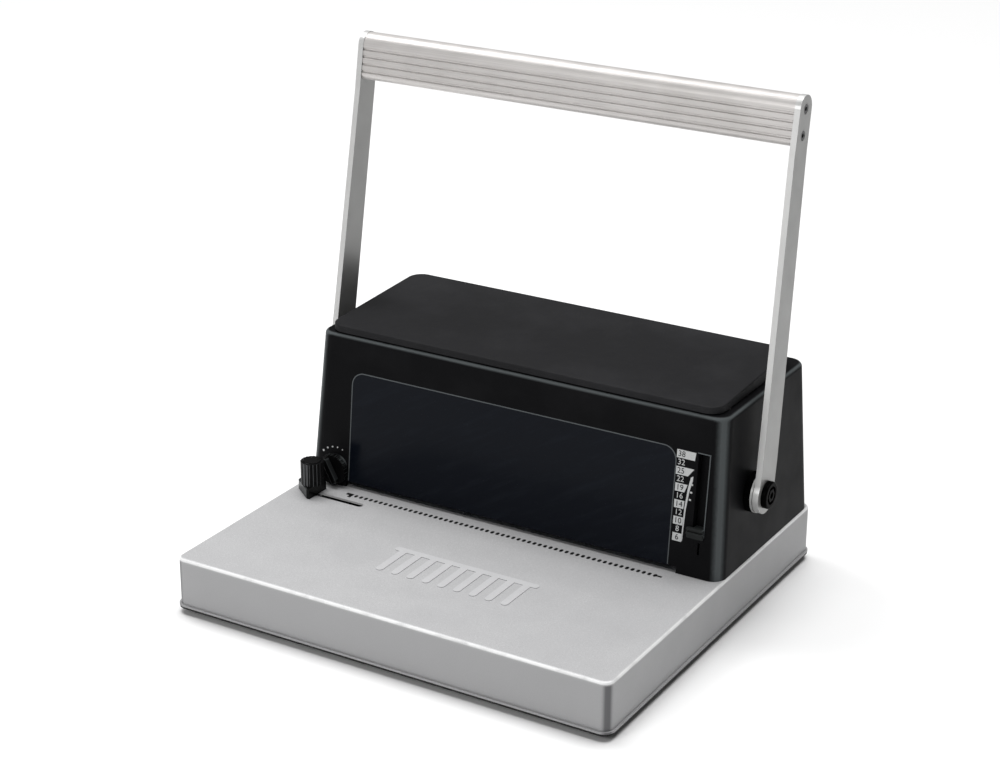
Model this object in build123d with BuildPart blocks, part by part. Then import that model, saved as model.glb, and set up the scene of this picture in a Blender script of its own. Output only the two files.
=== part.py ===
from build123d import *
import os
from math import asin, atan2, cos, degrees, radians, sin

os.makedirs("parts", exist_ok=True)

# Manual comb binding machine: a sheet-metal base, a tapered housing over the punch and the comb
# opener, and a wide lever handle.  Millimetres, +Z up, -Y is the front where the paper goes in.
# The drawings put Y = 9 at the foot of the housing's front; write() moves every piece back so
# that the origin is the middle of the footprint, on the table.

# ---------------------------------------------------------------- driving dimensions
BASE_WIDTH = 395.0
BASE_FRONT = -174.2
BASE_REAR = 185.7
BASE_BOTTOM = 5.0
BASE_TOP = 49.0
BASE_CORNER = 8.0
BASE_TOP_ROUND = 2.6
BASE_LIP = 1.6
SHEET = 1.6
FLANGE = 8.0
GAP = 0.3

HOUSING_TOP = 182.0
HOUSING_WALL = 3.0
HOUSING_BOTTOM_HALF = 196.4
HOUSING_TOP_HALF = 190.1
HOUSING_BOTTOM_FRONT = 9.0
HOUSING_TOP_FRONT = 23.0
HOUSING_BOTTOM_REAR = 183.5
HOUSING_TOP_REAR = 174.6
HOUSING_CORNER = 12.0
RIM_ROUND = 4.0
WELL_HALF_WIDTH = 176.0
WELL_FRONT = 34.0
WELL_REAR = 156.0

PIVOT_Y = 67.0
PIVOT_Z = 106.6
SHAFT_RADIUS = 7.0
RUNNING = 0.05

# The arms stand a little further apart at the pivot than at the grip.
ARM_EYE_INNER = 202.2
ARM_TOP_INNER = 196.9
ARM_THICKNESS = 4.9
ARM_EYE_OUTER = ARM_EYE_INNER + ARM_THICKNESS
ARM_TOP_OUTER = ARM_TOP_INNER + ARM_THICKNESS
ARM_SPREAD = ARM_EYE_OUTER - ARM_TOP_INNER
ARM_BEND_LOW = 130.0
ARM_BEND_HIGH = 374.0
ARM_FOOT_RADIUS = 14.2
ARM_EYE_RADIUS = 16.0
ARM_TIP_RADIUS = 11.0
ARM_TIP_Y = 116.0
ARM_TIP_Z = 408.4
SHAFT_END = ARM_EYE_OUTER - 0.5
GRIP_SCREW_DROP = 20.6
GRIP_LENGTH_BELOW_TIP = 29.0

HANDLE_TURN = radians(80)
PUNCH_TRAVEL = 11.0
PUNCH_PER_RADIAN = PUNCH_TRAVEL / HANDLE_TURN

HOLE_COUNT = 21
HOLE_PITCH = 14.2875
HOLE_LENGTH = 8.0
HOLE_WIDTH = 3.0
PUNCH_LINE_Y = 26.0
THROAT_TOP = 54.4
THROAT_HALF_WIDTH = 158.0

LID_HALF_WIDTH = 182.6
LID_FRONT = 25.0
LID_REAR = 161.5
LID_BOTTOM = 183.0
LID_FRONT_TOP = 188.6
LID_REAR_TOP = 194.5
LID_CORNER = 13.0
LID_WALL = 2.5
LID_EDGE_ROUND = 1.2
HINGE_Y = 165.3
HINGE_Z = 187.0
HINGE_RADIUS = 3.2
HINGE_PIN_RADIUS = 1.5

DIAL_X = -169.0
DIAL_Z = 64.0
DIAL_RADIUS = 13.5
DIAL_BACK = 8.7

KNOB_X = -174.5
KNOB_Y = -16.0
FENCE_X = -169.3
EDGE_TRAVEL = 45.0
SLOT_WIDTH = 6.5
SLOT_FROM = KNOB_X - 5.0
SLOT_TO = KNOB_X + EDGE_TRAVEL + 6.0

GAUGE_X = 174.2
GAUGE_WIDTH = 12.0
GAUGE_LOW = 34.3
GAUGE_HIGH = 103.6
GAUGE_DEPTH = 8.0

FRAME_INNER = 178.0
FRAME_THICKNESS = 4.0
DECK_BOTTOM = 168.0
DECK_THICKNESS = 3.0
OPENER_TRAVEL = 20.0

# ---------------------------------------------------------------- shared geometry
BASE_DEPTH = BASE_REAR - BASE_FRONT
BASE_MIDDLE = (BASE_FRONT + BASE_REAR) / 2
FACE_TILT = atan2(HOUSING_TOP_FRONT - HOUSING_BOTTOM_FRONT, HOUSING_TOP - BASE_TOP)
# The inclined front face: local X runs right, local Y runs up the face, Z points out of it.
FRONT_FACE = Plane(
    origin=(0, HOUSING_BOTTOM_FRONT, BASE_TOP),
    x_dir=(1, 0, 0),
    z_dir=(0, -cos(FACE_TILT), sin(FACE_TILT)),
)
ARM_LEAN = atan2(ARM_TIP_Y - PIVOT_Y, ARM_TIP_Z - PIVOT_Z)
SIDES = (("left", -1), ("right", 1))


def write(piece, name):
    """Puts a finished piece over the middle of the footprint, labels it and writes its STEP file."""
    placed = piece.part.moved(Location((0, -BASE_MIDDLE, 0)))
    placed.label = name
    export_step(placed, f"parts/{name}.step")


def slab_start(sign, inner, thickness):
    """Lower X of a slab whose inner face is |X| = inner, on the left (-1) or the right (1)."""
    return inner if sign > 0 else -(inner + thickness)


def housing_section(z, inset):
    """Half width, front Y and rear Y of the tapered housing at height z, moved in by inset."""
    share = (z - BASE_TOP) / (HOUSING_TOP - BASE_TOP)
    half = HOUSING_BOTTOM_HALF + share * (HOUSING_TOP_HALF - HOUSING_BOTTOM_HALF) - inset
    front = HOUSING_BOTTOM_FRONT + share * (HOUSING_TOP_FRONT - HOUSING_BOTTOM_FRONT) + inset
    rear = HOUSING_BOTTOM_REAR + share * (HOUSING_TOP_REAR - HOUSING_BOTTOM_REAR) - inset
    return half, front, rear


def tapered_block(z_low, z_high, inset):
    """The housing's tapered outline between two heights, moved in by inset."""
    with BuildPart() as block:
        for z in (z_low, z_high):
            half, front, rear = housing_section(z, inset)
            with BuildSketch(Plane.XY.offset(z)):
                with Locations((0, (front + rear) / 2)):
                    RectangleRounded(2 * half, rear - front, HOUSING_CORNER - inset)
        loft(ruled=True)
    return block.part


def punch_places(y):
    """The row of comb holes, along X."""
    return [((i - (HOLE_COUNT - 1) / 2) * HOLE_PITCH, y) for i in range(HOLE_COUNT)]


# ---------------------------------------------------------------- base
FLANGE_BOTTOM = BASE_BOTTOM + SHEET
FLANGE_TOP = FLANGE_BOTTOM + SHEET
TRAY_HALF_OPENING = 150.0
TRAY_OPENING_LOW = 9.6
TRAY_OPENING_HIGH = 41.6
DIE_HALF_LENGTH = 155.0
DIE_FRONT = 14.0
DIE_REAR = 46.0
POST_X = 150.0
POST_Y = 56.0
GUIDE_SCREWS = [(-154.5, 22.5), (154.5, 22.5)]
HOUSING_POSTS = [(x, y) for x in (-186.6, 186.6) for y in (19.2, 173.3)]
FRAME_FEET = [(x, y) for x in (-171.0, 171.0) for y in (75.0, 135.0)]
FLANGE_X = BASE_WIDTH / 2 - SHEET - FLANGE / 2
BASE_SCREWS = [(x, y) for x in (-FLANGE_X, FLANGE_X) for y in (-90.0, 100.0)]
BASE_SCREWS += [(x, BASE_FRONT + SHEET + FLANGE / 2) for x in (-90.0, 90.0)]
BASE_SCREWS += [(x, BASE_REAR - SHEET - FLANGE / 2) for x in (-160.0, 160.0)]
EMBLEM_X = 11.5
EMBLEM_SPINE_Y = -69.0
EMBLEM_TEETH_Y = -88.0
EMBLEM_TEETH = 9
EMBLEM_PITCH = 14.4
EMBLEM_WIDTH = 6.4


def base_sketch(z, margin, corner):
    """The base's outline at height z, grown by margin."""
    with BuildSketch(Plane.XY.offset(z)) as outline:
        with Locations((0, BASE_MIDDLE)):
            RectangleRounded(BASE_WIDTH + 2 * margin, BASE_DEPTH + 2 * margin, corner)
    return outline.sketch


with BuildPart() as base_tray:
    extrude(base_sketch(FLANGE_BOTTOM, 0, BASE_CORNER), amount=BASE_TOP - FLANGE_BOTTOM)
    fillet(base_tray.faces().sort_by(Axis.Z)[-1].edges(), BASE_TOP_ROUND)
    # A thin lip all round the foot, the hollow of the tray and the opening inside the flange.
    extrude(base_sketch(FLANGE_BOTTOM, BASE_LIP, BASE_CORNER + BASE_LIP), amount=SHEET)
    extrude(
        base_sketch(FLANGE_TOP, -SHEET, BASE_CORNER - SHEET),
        amount=BASE_TOP - SHEET - FLANGE_TOP,
        mode=Mode.SUBTRACT,
    )
    extrude(
        base_sketch(FLANGE_BOTTOM, -SHEET - FLANGE, BASE_CORNER - SHEET),
        amount=SHEET,
        mode=Mode.SUBTRACT,
    )
    # Slot for the side guide's clamp, the die's window and the fixing holes, all in the top.
    with BuildSketch(Plane.XY.offset(BASE_TOP)):
        with Locations(((SLOT_FROM + SLOT_TO) / 2, KNOB_Y)):
            SlotOverall(SLOT_TO - SLOT_FROM, SLOT_WIDTH)
        with Locations((0, (DIE_FRONT + DIE_REAR) / 2)):
            Rectangle(2 * DIE_HALF_LENGTH + 1.0, DIE_REAR - DIE_FRONT + 1.0)
        with Locations(*HOUSING_POSTS):
            Circle(1.8)
        with Locations(*FRAME_FEET):
            Circle(2.2)
        with Locations((-POST_X, POST_Y), (POST_X, POST_Y)):
            Circle(2.7)
        with Locations(*GUIDE_SCREWS):
            Circle(2.2)
    extrude(amount=-SHEET, mode=Mode.SUBTRACT)
    with BuildSketch(Plane.XY.offset(FLANGE_BOTTOM)):
        with Locations(*BASE_SCREWS):
            Circle(1.6)
    extrude(amount=SHEET, mode=Mode.SUBTRACT)
    # Opening for the waste tray in the rear wall.
    with BuildSketch(Plane.XZ.offset(-BASE_REAR)):
        with Locations((0, (TRAY_OPENING_LOW + TRAY_OPENING_HIGH) / 2)):
            RectangleRounded(2 * TRAY_HALF_OPENING, TRAY_OPENING_HIGH - TRAY_OPENING_LOW, 2.0)
    extrude(amount=SHEET, mode=Mode.SUBTRACT)
    # A raised comb-shaped emblem on the plate: a spine with rounded teeth.
    with BuildSketch(Plane.XY.offset(BASE_TOP)):
        with Locations((EMBLEM_X, EMBLEM_SPINE_Y)):
            SlotOverall(EMBLEM_TEETH * EMBLEM_PITCH + 4.0, EMBLEM_WIDTH)
        with Locations((EMBLEM_X, EMBLEM_TEETH_Y)):
            with GridLocations(EMBLEM_PITCH, 1.0, EMBLEM_TEETH, 1):
                SlotOverall(42.0, EMBLEM_WIDTH, rotation=90)
    extrude(amount=0.5)
write(base_tray, "base_tray")

FEET = [(x, y) for x in (-183.0, 183.0) for y in (-158.5, 170.0)]

with BuildPart() as base_bottom_plate:
    with BuildSketch(Plane.XY.offset(BASE_BOTTOM)):
        add(base_sketch(0, BASE_LIP - GAP, BASE_CORNER + BASE_LIP - GAP))
        with Locations(*BASE_SCREWS):
            Circle(1.7, mode=Mode.SUBTRACT)
        with Locations(*FEET):
            Circle(3.1, mode=Mode.SUBTRACT)
    extrude(amount=SHEET)
write(base_bottom_plate, "base_bottom_plate")

with BuildPart() as feet:
    with Locations(*[(x, y, BASE_BOTTOM / 2) for x, y in FEET]):
        Cylinder(10.0, BASE_BOTTOM)
    fillet(feet.faces().group_by(Axis.Z)[0].edges(), 1.2)
    with BuildSketch(Plane.XY.offset(BASE_BOTTOM)):
        with Locations(*FEET):
            Circle(3.0)
    extrude(amount=4.0)
write(feet, "feet")

with BuildPart() as base_screws:
    with BuildSketch(Plane.XY.offset(BASE_BOTTOM)):
        with Locations(*BASE_SCREWS):
            Circle(3.0)
    extrude(amount=-1.8)
    fillet(base_screws.faces().group_by(Axis.Z)[0].edges(), 0.7)
    with BuildSketch(Plane.XY.offset(BASE_BOTTOM)):
        with Locations(*BASE_SCREWS):
            Circle(1.5)
    extrude(amount=6.0)
write(base_screws, "base_screws")

# ---------------------------------------------------------------- waste tray and its runners
TRAY_HALF_WIDTH = 149.0
TRAY_FRONT = 16.0
TRAY_BOTTOM = 10.2
TRAY_TOP = 40.2
RUNNER_REAR = 171.0
RUNNER_OUTER = 153.0
TRAY_END = 2.4

with BuildPart() as waste_tray:
    with BuildSketch(Plane.XY.offset(TRAY_BOTTOM)):
        with Locations((0, (TRAY_FRONT + BASE_REAR) / 2)):
            Rectangle(2 * TRAY_HALF_WIDTH, BASE_REAR - TRAY_FRONT)
    extrude(amount=TRAY_TOP - TRAY_BOTTOM)
    with BuildSketch(Plane.XY.offset(TRAY_BOTTOM + SHEET)):
        with Locations((0, (TRAY_FRONT + SHEET + BASE_REAR - TRAY_END) / 2)):
            Rectangle(2 * (TRAY_HALF_WIDTH - SHEET), BASE_REAR - TRAY_END - TRAY_FRONT - SHEET)
    extrude(amount=TRAY_TOP - TRAY_BOTTOM, mode=Mode.SUBTRACT)
    # The end wall fills the opening of the base, and has a finger slot.
    with BuildSketch(Plane.XZ.offset(-BASE_REAR)):
        with Locations((0, (TRAY_OPENING_LOW + TRAY_OPENING_HIGH) / 2)):
            RectangleRounded(
                2 * TRAY_HALF_OPENING - 2 * GAP,
                TRAY_OPENING_HIGH - TRAY_OPENING_LOW - 2 * GAP,
                1.7,
            )
    extrude(amount=SHEET)
    with BuildSketch(Plane.XZ.offset(-BASE_REAR)):
        with Locations((0, 29.0)):
            SlotOverall(62.0, 11.0)
    extrude(amount=TRAY_END, mode=Mode.SUBTRACT)
write(waste_tray, "waste_tray")

with BuildPart() as tray_runners:
    for sign in (-1, 1):
        with BuildSketch(Plane.XY.offset(FLANGE_BOTTOM)):
            with Locations((sign * (RUNNER_OUTER - 5.5), (TRAY_FRONT + RUNNER_REAR) / 2)):
                Rectangle(11.0, RUNNER_REAR - TRAY_FRONT)
        extrude(amount=TRAY_BOTTOM - 0.2 - FLANGE_BOTTOM)
        with BuildSketch(Plane.XY.offset(FLANGE_BOTTOM)):
            with Locations((sign * (RUNNER_OUTER - 1.5), (TRAY_FRONT + RUNNER_REAR) / 2)):
                Rectangle(3.0, RUNNER_REAR - TRAY_FRONT)
        extrude(amount=14.0)
write(tray_runners, "tray_runners")

# ---------------------------------------------------------------- punch and die
DIE_BOTTOM = 43.0
GUIDE_TOP = 62.0
GUIDE_FRONT = 16.0
GUIDE_REAR = 34.0
SPACER_REAR = 29.0
PLATE_BOTTOM = 78.0
PLATE_TOP = 88.0
PLATE_FRONT = 18.5
PLATE_REAR = 84.0
PLATE_HALF_LENGTH = 160.0
PIN_TIP = THROAT_TOP + 1.0
PIN_TOP = PLATE_BOTTOM + 4.0
POST_RADIUS = 5.0
POST_TOP = 98.0
POST_COLLAR_TOP = 51.0

with BuildPart() as die_plate:
    with BuildSketch(Plane.XY.offset(DIE_BOTTOM)):
        with Locations((0, (DIE_FRONT + DIE_REAR) / 2)):
            Rectangle(2 * (DIE_HALF_LENGTH + 7.0), DIE_REAR - DIE_FRONT + 8.0)
    extrude(amount=BASE_TOP - SHEET - DIE_BOTTOM)
    with BuildSketch(Plane.XY.offset(DIE_BOTTOM)):
        with Locations((0, (DIE_FRONT + DIE_REAR) / 2)):
            Rectangle(2 * DIE_HALF_LENGTH, DIE_REAR - DIE_FRONT)
    extrude(amount=BASE_TOP - DIE_BOTTOM)
    with BuildSketch(Plane.XY.offset(DIE_BOTTOM)):
        with Locations(*punch_places(PUNCH_LINE_Y)):
            Rectangle(HOLE_LENGTH + 0.1, HOLE_WIDTH + 0.1)
        with Locations(*GUIDE_SCREWS):
            Circle(2.0)
    extrude(amount=BASE_TOP - DIE_BOTTOM, mode=Mode.SUBTRACT)
write(die_plate, "die_plate")

with BuildPart() as guide_spacers:
    with BuildSketch(Plane.XY.offset(BASE_TOP)):
        with Locations(*GUIDE_SCREWS):
            Rectangle(7.0, SPACER_REAR - GUIDE_FRONT)
            Circle(2.1, mode=Mode.SUBTRACT)
    extrude(amount=THROAT_TOP - BASE_TOP)
write(guide_spacers, "guide_spacers")

with BuildPart() as punch_guide:
    with BuildSketch(Plane.XY.offset(THROAT_TOP)):
        with Locations((0, (GUIDE_FRONT + GUIDE_REAR) / 2)):
            Rectangle(2 * THROAT_HALF_WIDTH, GUIDE_REAR - GUIDE_FRONT)
        with Locations(*punch_places(PUNCH_LINE_Y)):
            Rectangle(HOLE_LENGTH + 0.1, HOLE_WIDTH + 0.1, mode=Mode.SUBTRACT)
    extrude(amount=GUIDE_TOP - THROAT_TOP)
    with Locations(*[(x, y, GUIDE_TOP) for x, y in GUIDE_SCREWS]):
        CounterBoreHole(radius=2.1, counter_bore_radius=3.6, counter_bore_depth=3.0)
write(punch_guide, "punch_guide")

with BuildPart() as guide_screws:
    with BuildSketch(Plane.XY.offset(DIE_BOTTOM + 1.0)):
        with Locations(*GUIDE_SCREWS):
            Circle(1.95)
    extrude(amount=GUIDE_TOP - DIE_BOTTOM - 2.0)
    with BuildSketch(Plane.XY.offset(GUIDE_TOP - 3.0)):
        with Locations(*GUIDE_SCREWS):
            Circle(3.4)
    extrude(amount=2.9)
    with BuildSketch(Plane.XY.offset(GUIDE_TOP - 0.1)):
        with Locations(*GUIDE_SCREWS):
            RegularPolygon(1.7, 6)
    extrude(amount=-2.0, mode=Mode.SUBTRACT)
write(guide_screws, "guide_screws")

with BuildPart() as punch_plate:
    with BuildSketch(Plane.XY.offset(PLATE_BOTTOM)):
        with Locations((0, (PLATE_FRONT + PLATE_REAR) / 2)):
            RectangleRounded(2 * PLATE_HALF_LENGTH, PLATE_REAR - PLATE_FRONT, 4.0)
        with Locations((-POST_X, POST_Y), (POST_X, POST_Y)):
            Circle(POST_RADIUS + RUNNING, mode=Mode.SUBTRACT)
        with Locations((-43.0, 60.0), (43.0, 60.0)):
            RectangleRounded(76.0, 30.0, 5.0, mode=Mode.SUBTRACT)
    extrude(amount=PLATE_TOP - PLATE_BOTTOM)
    with BuildSketch(Plane.XY.offset(PLATE_BOTTOM)):
        with Locations(*punch_places(PUNCH_LINE_Y)):
            Rectangle(HOLE_LENGTH, HOLE_WIDTH)
    extrude(amount=PIN_TOP - PLATE_BOTTOM, mode=Mode.SUBTRACT)
write(punch_plate, "punch_plate")

with BuildPart() as punch_pins:
    with BuildSketch(Plane.XY.offset(PIN_TIP)):
        with Locations(*punch_places(PUNCH_LINE_Y)):
            Rectangle(HOLE_LENGTH - 0.1, HOLE_WIDTH - 0.1)
    extrude(amount=PIN_TOP - PIN_TIP)
write(punch_pins, "punch_pins")

with BuildPart() as guide_posts:
    for sign in (-1, 1):
        with BuildSketch(Plane.XY.offset(BASE_TOP)):
            with Locations((sign * POST_X, POST_Y)):
                Circle(8.5)
        extrude(amount=POST_COLLAR_TOP - BASE_TOP)
        with BuildSketch(Plane.XY.offset(BASE_TOP)):
            with Locations((sign * POST_X, POST_Y)):
                Circle(POST_RADIUS)
        extrude(amount=POST_TOP - BASE_TOP)
        with BuildSketch(Plane.XY.offset(DIE_BOTTOM - 0.4)):
            with Locations((sign * POST_X, POST_Y)):
                Circle(2.5)
        extrude(amount=BASE_TOP - DIE_BOTTOM + 0.4)
    chamfer(guide_posts.faces().group_by(Axis.Z)[-1].edges(), 1.0)
write(guide_posts, "guide_posts")

with BuildPart() as post_nuts:
    with BuildSketch(Plane.XY.offset(DIE_BOTTOM + 0.4)):
        with Locations((-POST_X, POST_Y), (POST_X, POST_Y)):
            RegularPolygon(4.5, 6)
            Circle(2.6, mode=Mode.SUBTRACT)
    extrude(amount=BASE_TOP - SHEET - DIE_BOTTOM - 0.4)
write(post_nuts, "post_nuts")

# Return springs round the guide posts, between the post's collar and the punch plate.
SPRING_RADIUS = 7.0
SPRING_WIRE = 0.75
SPRING_TURNS = 5
SPRING_LOW = POST_COLLAR_TOP + SPRING_WIRE + 0.05
SPRING_HIGH = PLATE_BOTTOM - SPRING_WIRE - 0.05

with BuildPart() as return_springs:
    for sign in (-1, 1):
        with BuildLine():
            coil = Helix(
                pitch=(SPRING_HIGH - SPRING_LOW) / SPRING_TURNS,
                height=SPRING_HIGH - SPRING_LOW,
                radius=SPRING_RADIUS,
                center=(sign * POST_X, POST_Y, SPRING_LOW),
            )
        with BuildSketch(Plane(origin=coil @ 0, z_dir=coil % 0)):
            Circle(SPRING_WIRE)
        sweep(path=coil, is_frenet=True)
write(return_springs, "return_springs")

# ---------------------------------------------------------------- inner frames
FRAME_FRONT = 30.0
FRAME_REAR = 150.0
FRAME_TURN = 14.0
FOOT_SHEET = 2.6
TOP_SHEET = 3.6
SCREW_REACH = SHEET + 3.0
ROD_Y = 140.0
ROD_HEIGHTS = (75.0, 150.0)
BUSH_RADIUS = 10.0
STOP_RADIUS = 17.0
STOP_PIN = 3.0
STOP_PIN_INNER = 164.0
STOP_PIN_LENGTH = FRAME_INNER + FRAME_THICKNESS - STOP_PIN_INNER
COLLAR_INNER = 165.0
COLLAR_LENGTH = 9.0
TOOTH_HALF = 4.0
TOOTH_ANGLE = radians(40)
STOP_OFFSET = asin((TOOTH_HALF + STOP_PIN + 0.1) / STOP_RADIUS)
STOP_ANGLES = (TOOTH_ANGLE - STOP_OFFSET, TOOTH_ANGLE + HANDLE_TURN + STOP_OFFSET)
STOPS = [
    (PIVOT_Y + STOP_RADIUS * cos(angle), PIVOT_Z + STOP_RADIUS * sin(angle))
    for angle in STOP_ANGLES
]

for side, sign in SIDES:
    with BuildPart() as side_frame:
        with BuildSketch(Plane.YZ.offset(slab_start(sign, FRAME_INNER, FRAME_THICKNESS))):
            with BuildLine():
                Polyline(
                    (FRAME_FRONT, BASE_TOP),
                    (FRAME_REAR, BASE_TOP),
                    (FRAME_REAR, DECK_BOTTOM),
                    (FRAME_FRONT + 10.0, DECK_BOTTOM),
                    close=True,
                )
            make_face()
            with Locations((PIVOT_Y, PIVOT_Z)):
                Circle(BUSH_RADIUS, mode=Mode.SUBTRACT)
            with Locations(*[(ROD_Y, z) for z in ROD_HEIGHTS]):
                Circle(2.2, mode=Mode.SUBTRACT)
            with Locations(*STOPS):
                Circle(STOP_PIN, mode=Mode.SUBTRACT)
        extrude(amount=FRAME_THICKNESS)
        # Feet turned inwards at the bottom and the top, with their screw holes.
        for z, height in ((BASE_TOP, FOOT_SHEET), (DECK_BOTTOM - TOP_SHEET, TOP_SHEET)):
            with BuildSketch(Plane.XY.offset(z)):
                with Locations((sign * (FRAME_INNER - FRAME_TURN / 2), 105.0)):
                    Rectangle(FRAME_TURN, 90.0)
                with Locations(*[(sign * abs(x), y) for x, y in FRAME_FEET if x > 0]):
                    Circle(2.2, mode=Mode.SUBTRACT)
            extrude(amount=height)
    write(side_frame, f"side_frame_{side}")

with BuildPart() as frame_screws:
    # Upright screws through the frames' lower feet into the base's top sheet.
    with BuildSketch(Plane.XY.offset(BASE_TOP - SCREW_REACH)):
        with Locations(*FRAME_FEET):
            Circle(2.0)
    extrude(amount=SCREW_REACH + FOOT_SHEET + 2.4)
    with BuildSketch(Plane.XY.offset(BASE_TOP + FOOT_SHEET)):
        with Locations(*FRAME_FEET):
            Circle(3.6)
    extrude(amount=2.4)
write(frame_screws, "frame_screws")

with BuildPart() as tie_rods:
    with BuildSketch(Plane.YZ.offset(-FRAME_INNER)):
        with Locations(*[(ROD_Y, z) for z in ROD_HEIGHTS]):
            Circle(5.0)
    extrude(amount=2 * FRAME_INNER)
    for sign in (-1, 1):
        with BuildSketch(Plane.YZ.offset(sign * FRAME_INNER)):
            with Locations(*[(ROD_Y, z) for z in ROD_HEIGHTS]):
                Circle(2.05)
        extrude(amount=-sign * 14.0, mode=Mode.SUBTRACT)
write(tie_rods, "tie_rods")

with BuildPart() as rod_screws:
    for sign in (-1, 1):
        with BuildSketch(Plane.YZ.offset(sign * (FRAME_INNER + FRAME_THICKNESS))):
            with Locations(*[(ROD_Y, z) for z in ROD_HEIGHTS]):
                Circle(2.0)
        extrude(amount=-sign * 16.0)
        with BuildSketch(Plane.YZ.offset(sign * (FRAME_INNER + FRAME_THICKNESS))):
            with Locations(*[(ROD_Y, z) for z in ROD_HEIGHTS]):
                Circle(3.6)
        extrude(amount=sign * 2.0)
write(rod_screws, "rod_screws")

with BuildPart() as stop_pins:
    for sign in (-1, 1):
        with BuildSketch(Plane.YZ.offset(slab_start(sign, STOP_PIN_INNER, STOP_PIN_LENGTH))):
            with Locations(*STOPS):
                Circle(STOP_PIN)
        extrude(amount=STOP_PIN_LENGTH)
write(stop_pins, "stop_pins")

with BuildPart() as shaft_bushes:
    for sign in (-1, 1):
        with BuildSketch(Plane.YZ.offset(sign * (FRAME_INNER - 2.0))):
            with Locations((PIVOT_Y, PIVOT_Z)):
                Circle(12.5)
        extrude(amount=sign * 2.0)
        with BuildSketch(Plane.YZ.offset(sign * (FRAME_INNER - 2.0))):
            with Locations((PIVOT_Y, PIVOT_Z)):
                Circle(BUSH_RADIUS)
        extrude(amount=sign * 7.0)
    with Locations(Location((0, PIVOT_Y, PIVOT_Z), (0, 90, 0))):
        Cylinder(SHAFT_RADIUS + RUNNING, 2 * FRAME_INNER + 20, mode=Mode.SUBTRACT)
write(shaft_bushes, "shaft_bushes")

# ---------------------------------------------------------------- handle
CAP_RADIUS = 11.2
CAP_END = ARM_EYE_OUTER + 4.7
CAM_X = 100.0
CAM_THICKNESS = 12.0
CAM_BASE = PIVOT_Z - PLATE_TOP - 0.1
CAM_HUB = 14.0
CAM_STEPS = 7
CAM_MARGIN = radians(4)
ARM_UP = (sin(ARM_LEAN), cos(ARM_LEAN))
GRIP_SCREWS = [
    (ARM_TIP_Y - drop * ARM_UP[0], ARM_TIP_Z - drop * ARM_UP[1]) for drop in (0, GRIP_SCREW_DROP)
]


def cam_point(turn):
    """Point of the cam that presses on the flat punch plate once the handle has turned so far.

    The edge is an involute, so the plate sinks in proportion to the handle's angle."""
    lift = CAM_BASE + PUNCH_PER_RADIAN * turn
    y = -lift * sin(turn) - PUNCH_PER_RADIAN * cos(turn)
    z = -lift * cos(turn) + PUNCH_PER_RADIAN * sin(turn)
    return (PIVOT_Y + y, PIVOT_Z + z)


with BuildPart() as pivot_shaft:
    with Locations(Location((0, PIVOT_Y, PIVOT_Z), (0, 90, 0))):
        Cylinder(SHAFT_RADIUS, 2 * SHAFT_END)
    for sign in (-1, 1):
        with BuildSketch(Plane.YZ.offset(sign * SHAFT_END)):
            with Locations((PIVOT_Y, PIVOT_Z)):
                Circle(3.6)
        extrude(amount=-sign * 15.0, mode=Mode.SUBTRACT)
write(pivot_shaft, "pivot_shaft")

with BuildPart() as drive_cams:
    cam_turns = [
        -CAM_MARGIN + i * (HANDLE_TURN + 2 * CAM_MARGIN) / (CAM_STEPS - 1) for i in range(CAM_STEPS)
    ]
    for sign in (-1, 1):
        with BuildSketch(Plane.YZ.offset(slab_start(sign, CAM_X - CAM_THICKNESS / 2, CAM_THICKNESS))):
            with BuildLine():
                flank = Spline(*[cam_point(turn) for turn in cam_turns])
                Line(flank @ 1, (PIVOT_Y - CAM_HUB, PIVOT_Z + CAM_HUB - 1.0))
                Line((PIVOT_Y - CAM_HUB, PIVOT_Z + CAM_HUB - 1.0), (PIVOT_Y, PIVOT_Z))
                Line((PIVOT_Y, PIVOT_Z), flank @ 0)
            make_face()
            with Locations((PIVOT_Y, PIVOT_Z)):
                Circle(CAM_HUB)
                Circle(SHAFT_RADIUS, mode=Mode.SUBTRACT)
        extrude(amount=CAM_THICKNESS)
write(drive_cams, "drive_cams")

with BuildPart() as stop_collars:
    for sign in (-1, 1):
        with BuildSketch(Plane.YZ.offset(slab_start(sign, COLLAR_INNER, COLLAR_LENGTH))):
            with Locations(Location((PIVOT_Y, PIVOT_Z), degrees(TOOTH_ANGLE))):
                Circle(12.0)
                with Locations((11.0, 0)):
                    Rectangle(22.0, 2 * TOOTH_HALF)
                Circle(SHAFT_RADIUS, mode=Mode.SUBTRACT)
        extrude(amount=COLLAR_LENGTH)
write(stop_collars, "stop_collars")

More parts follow.
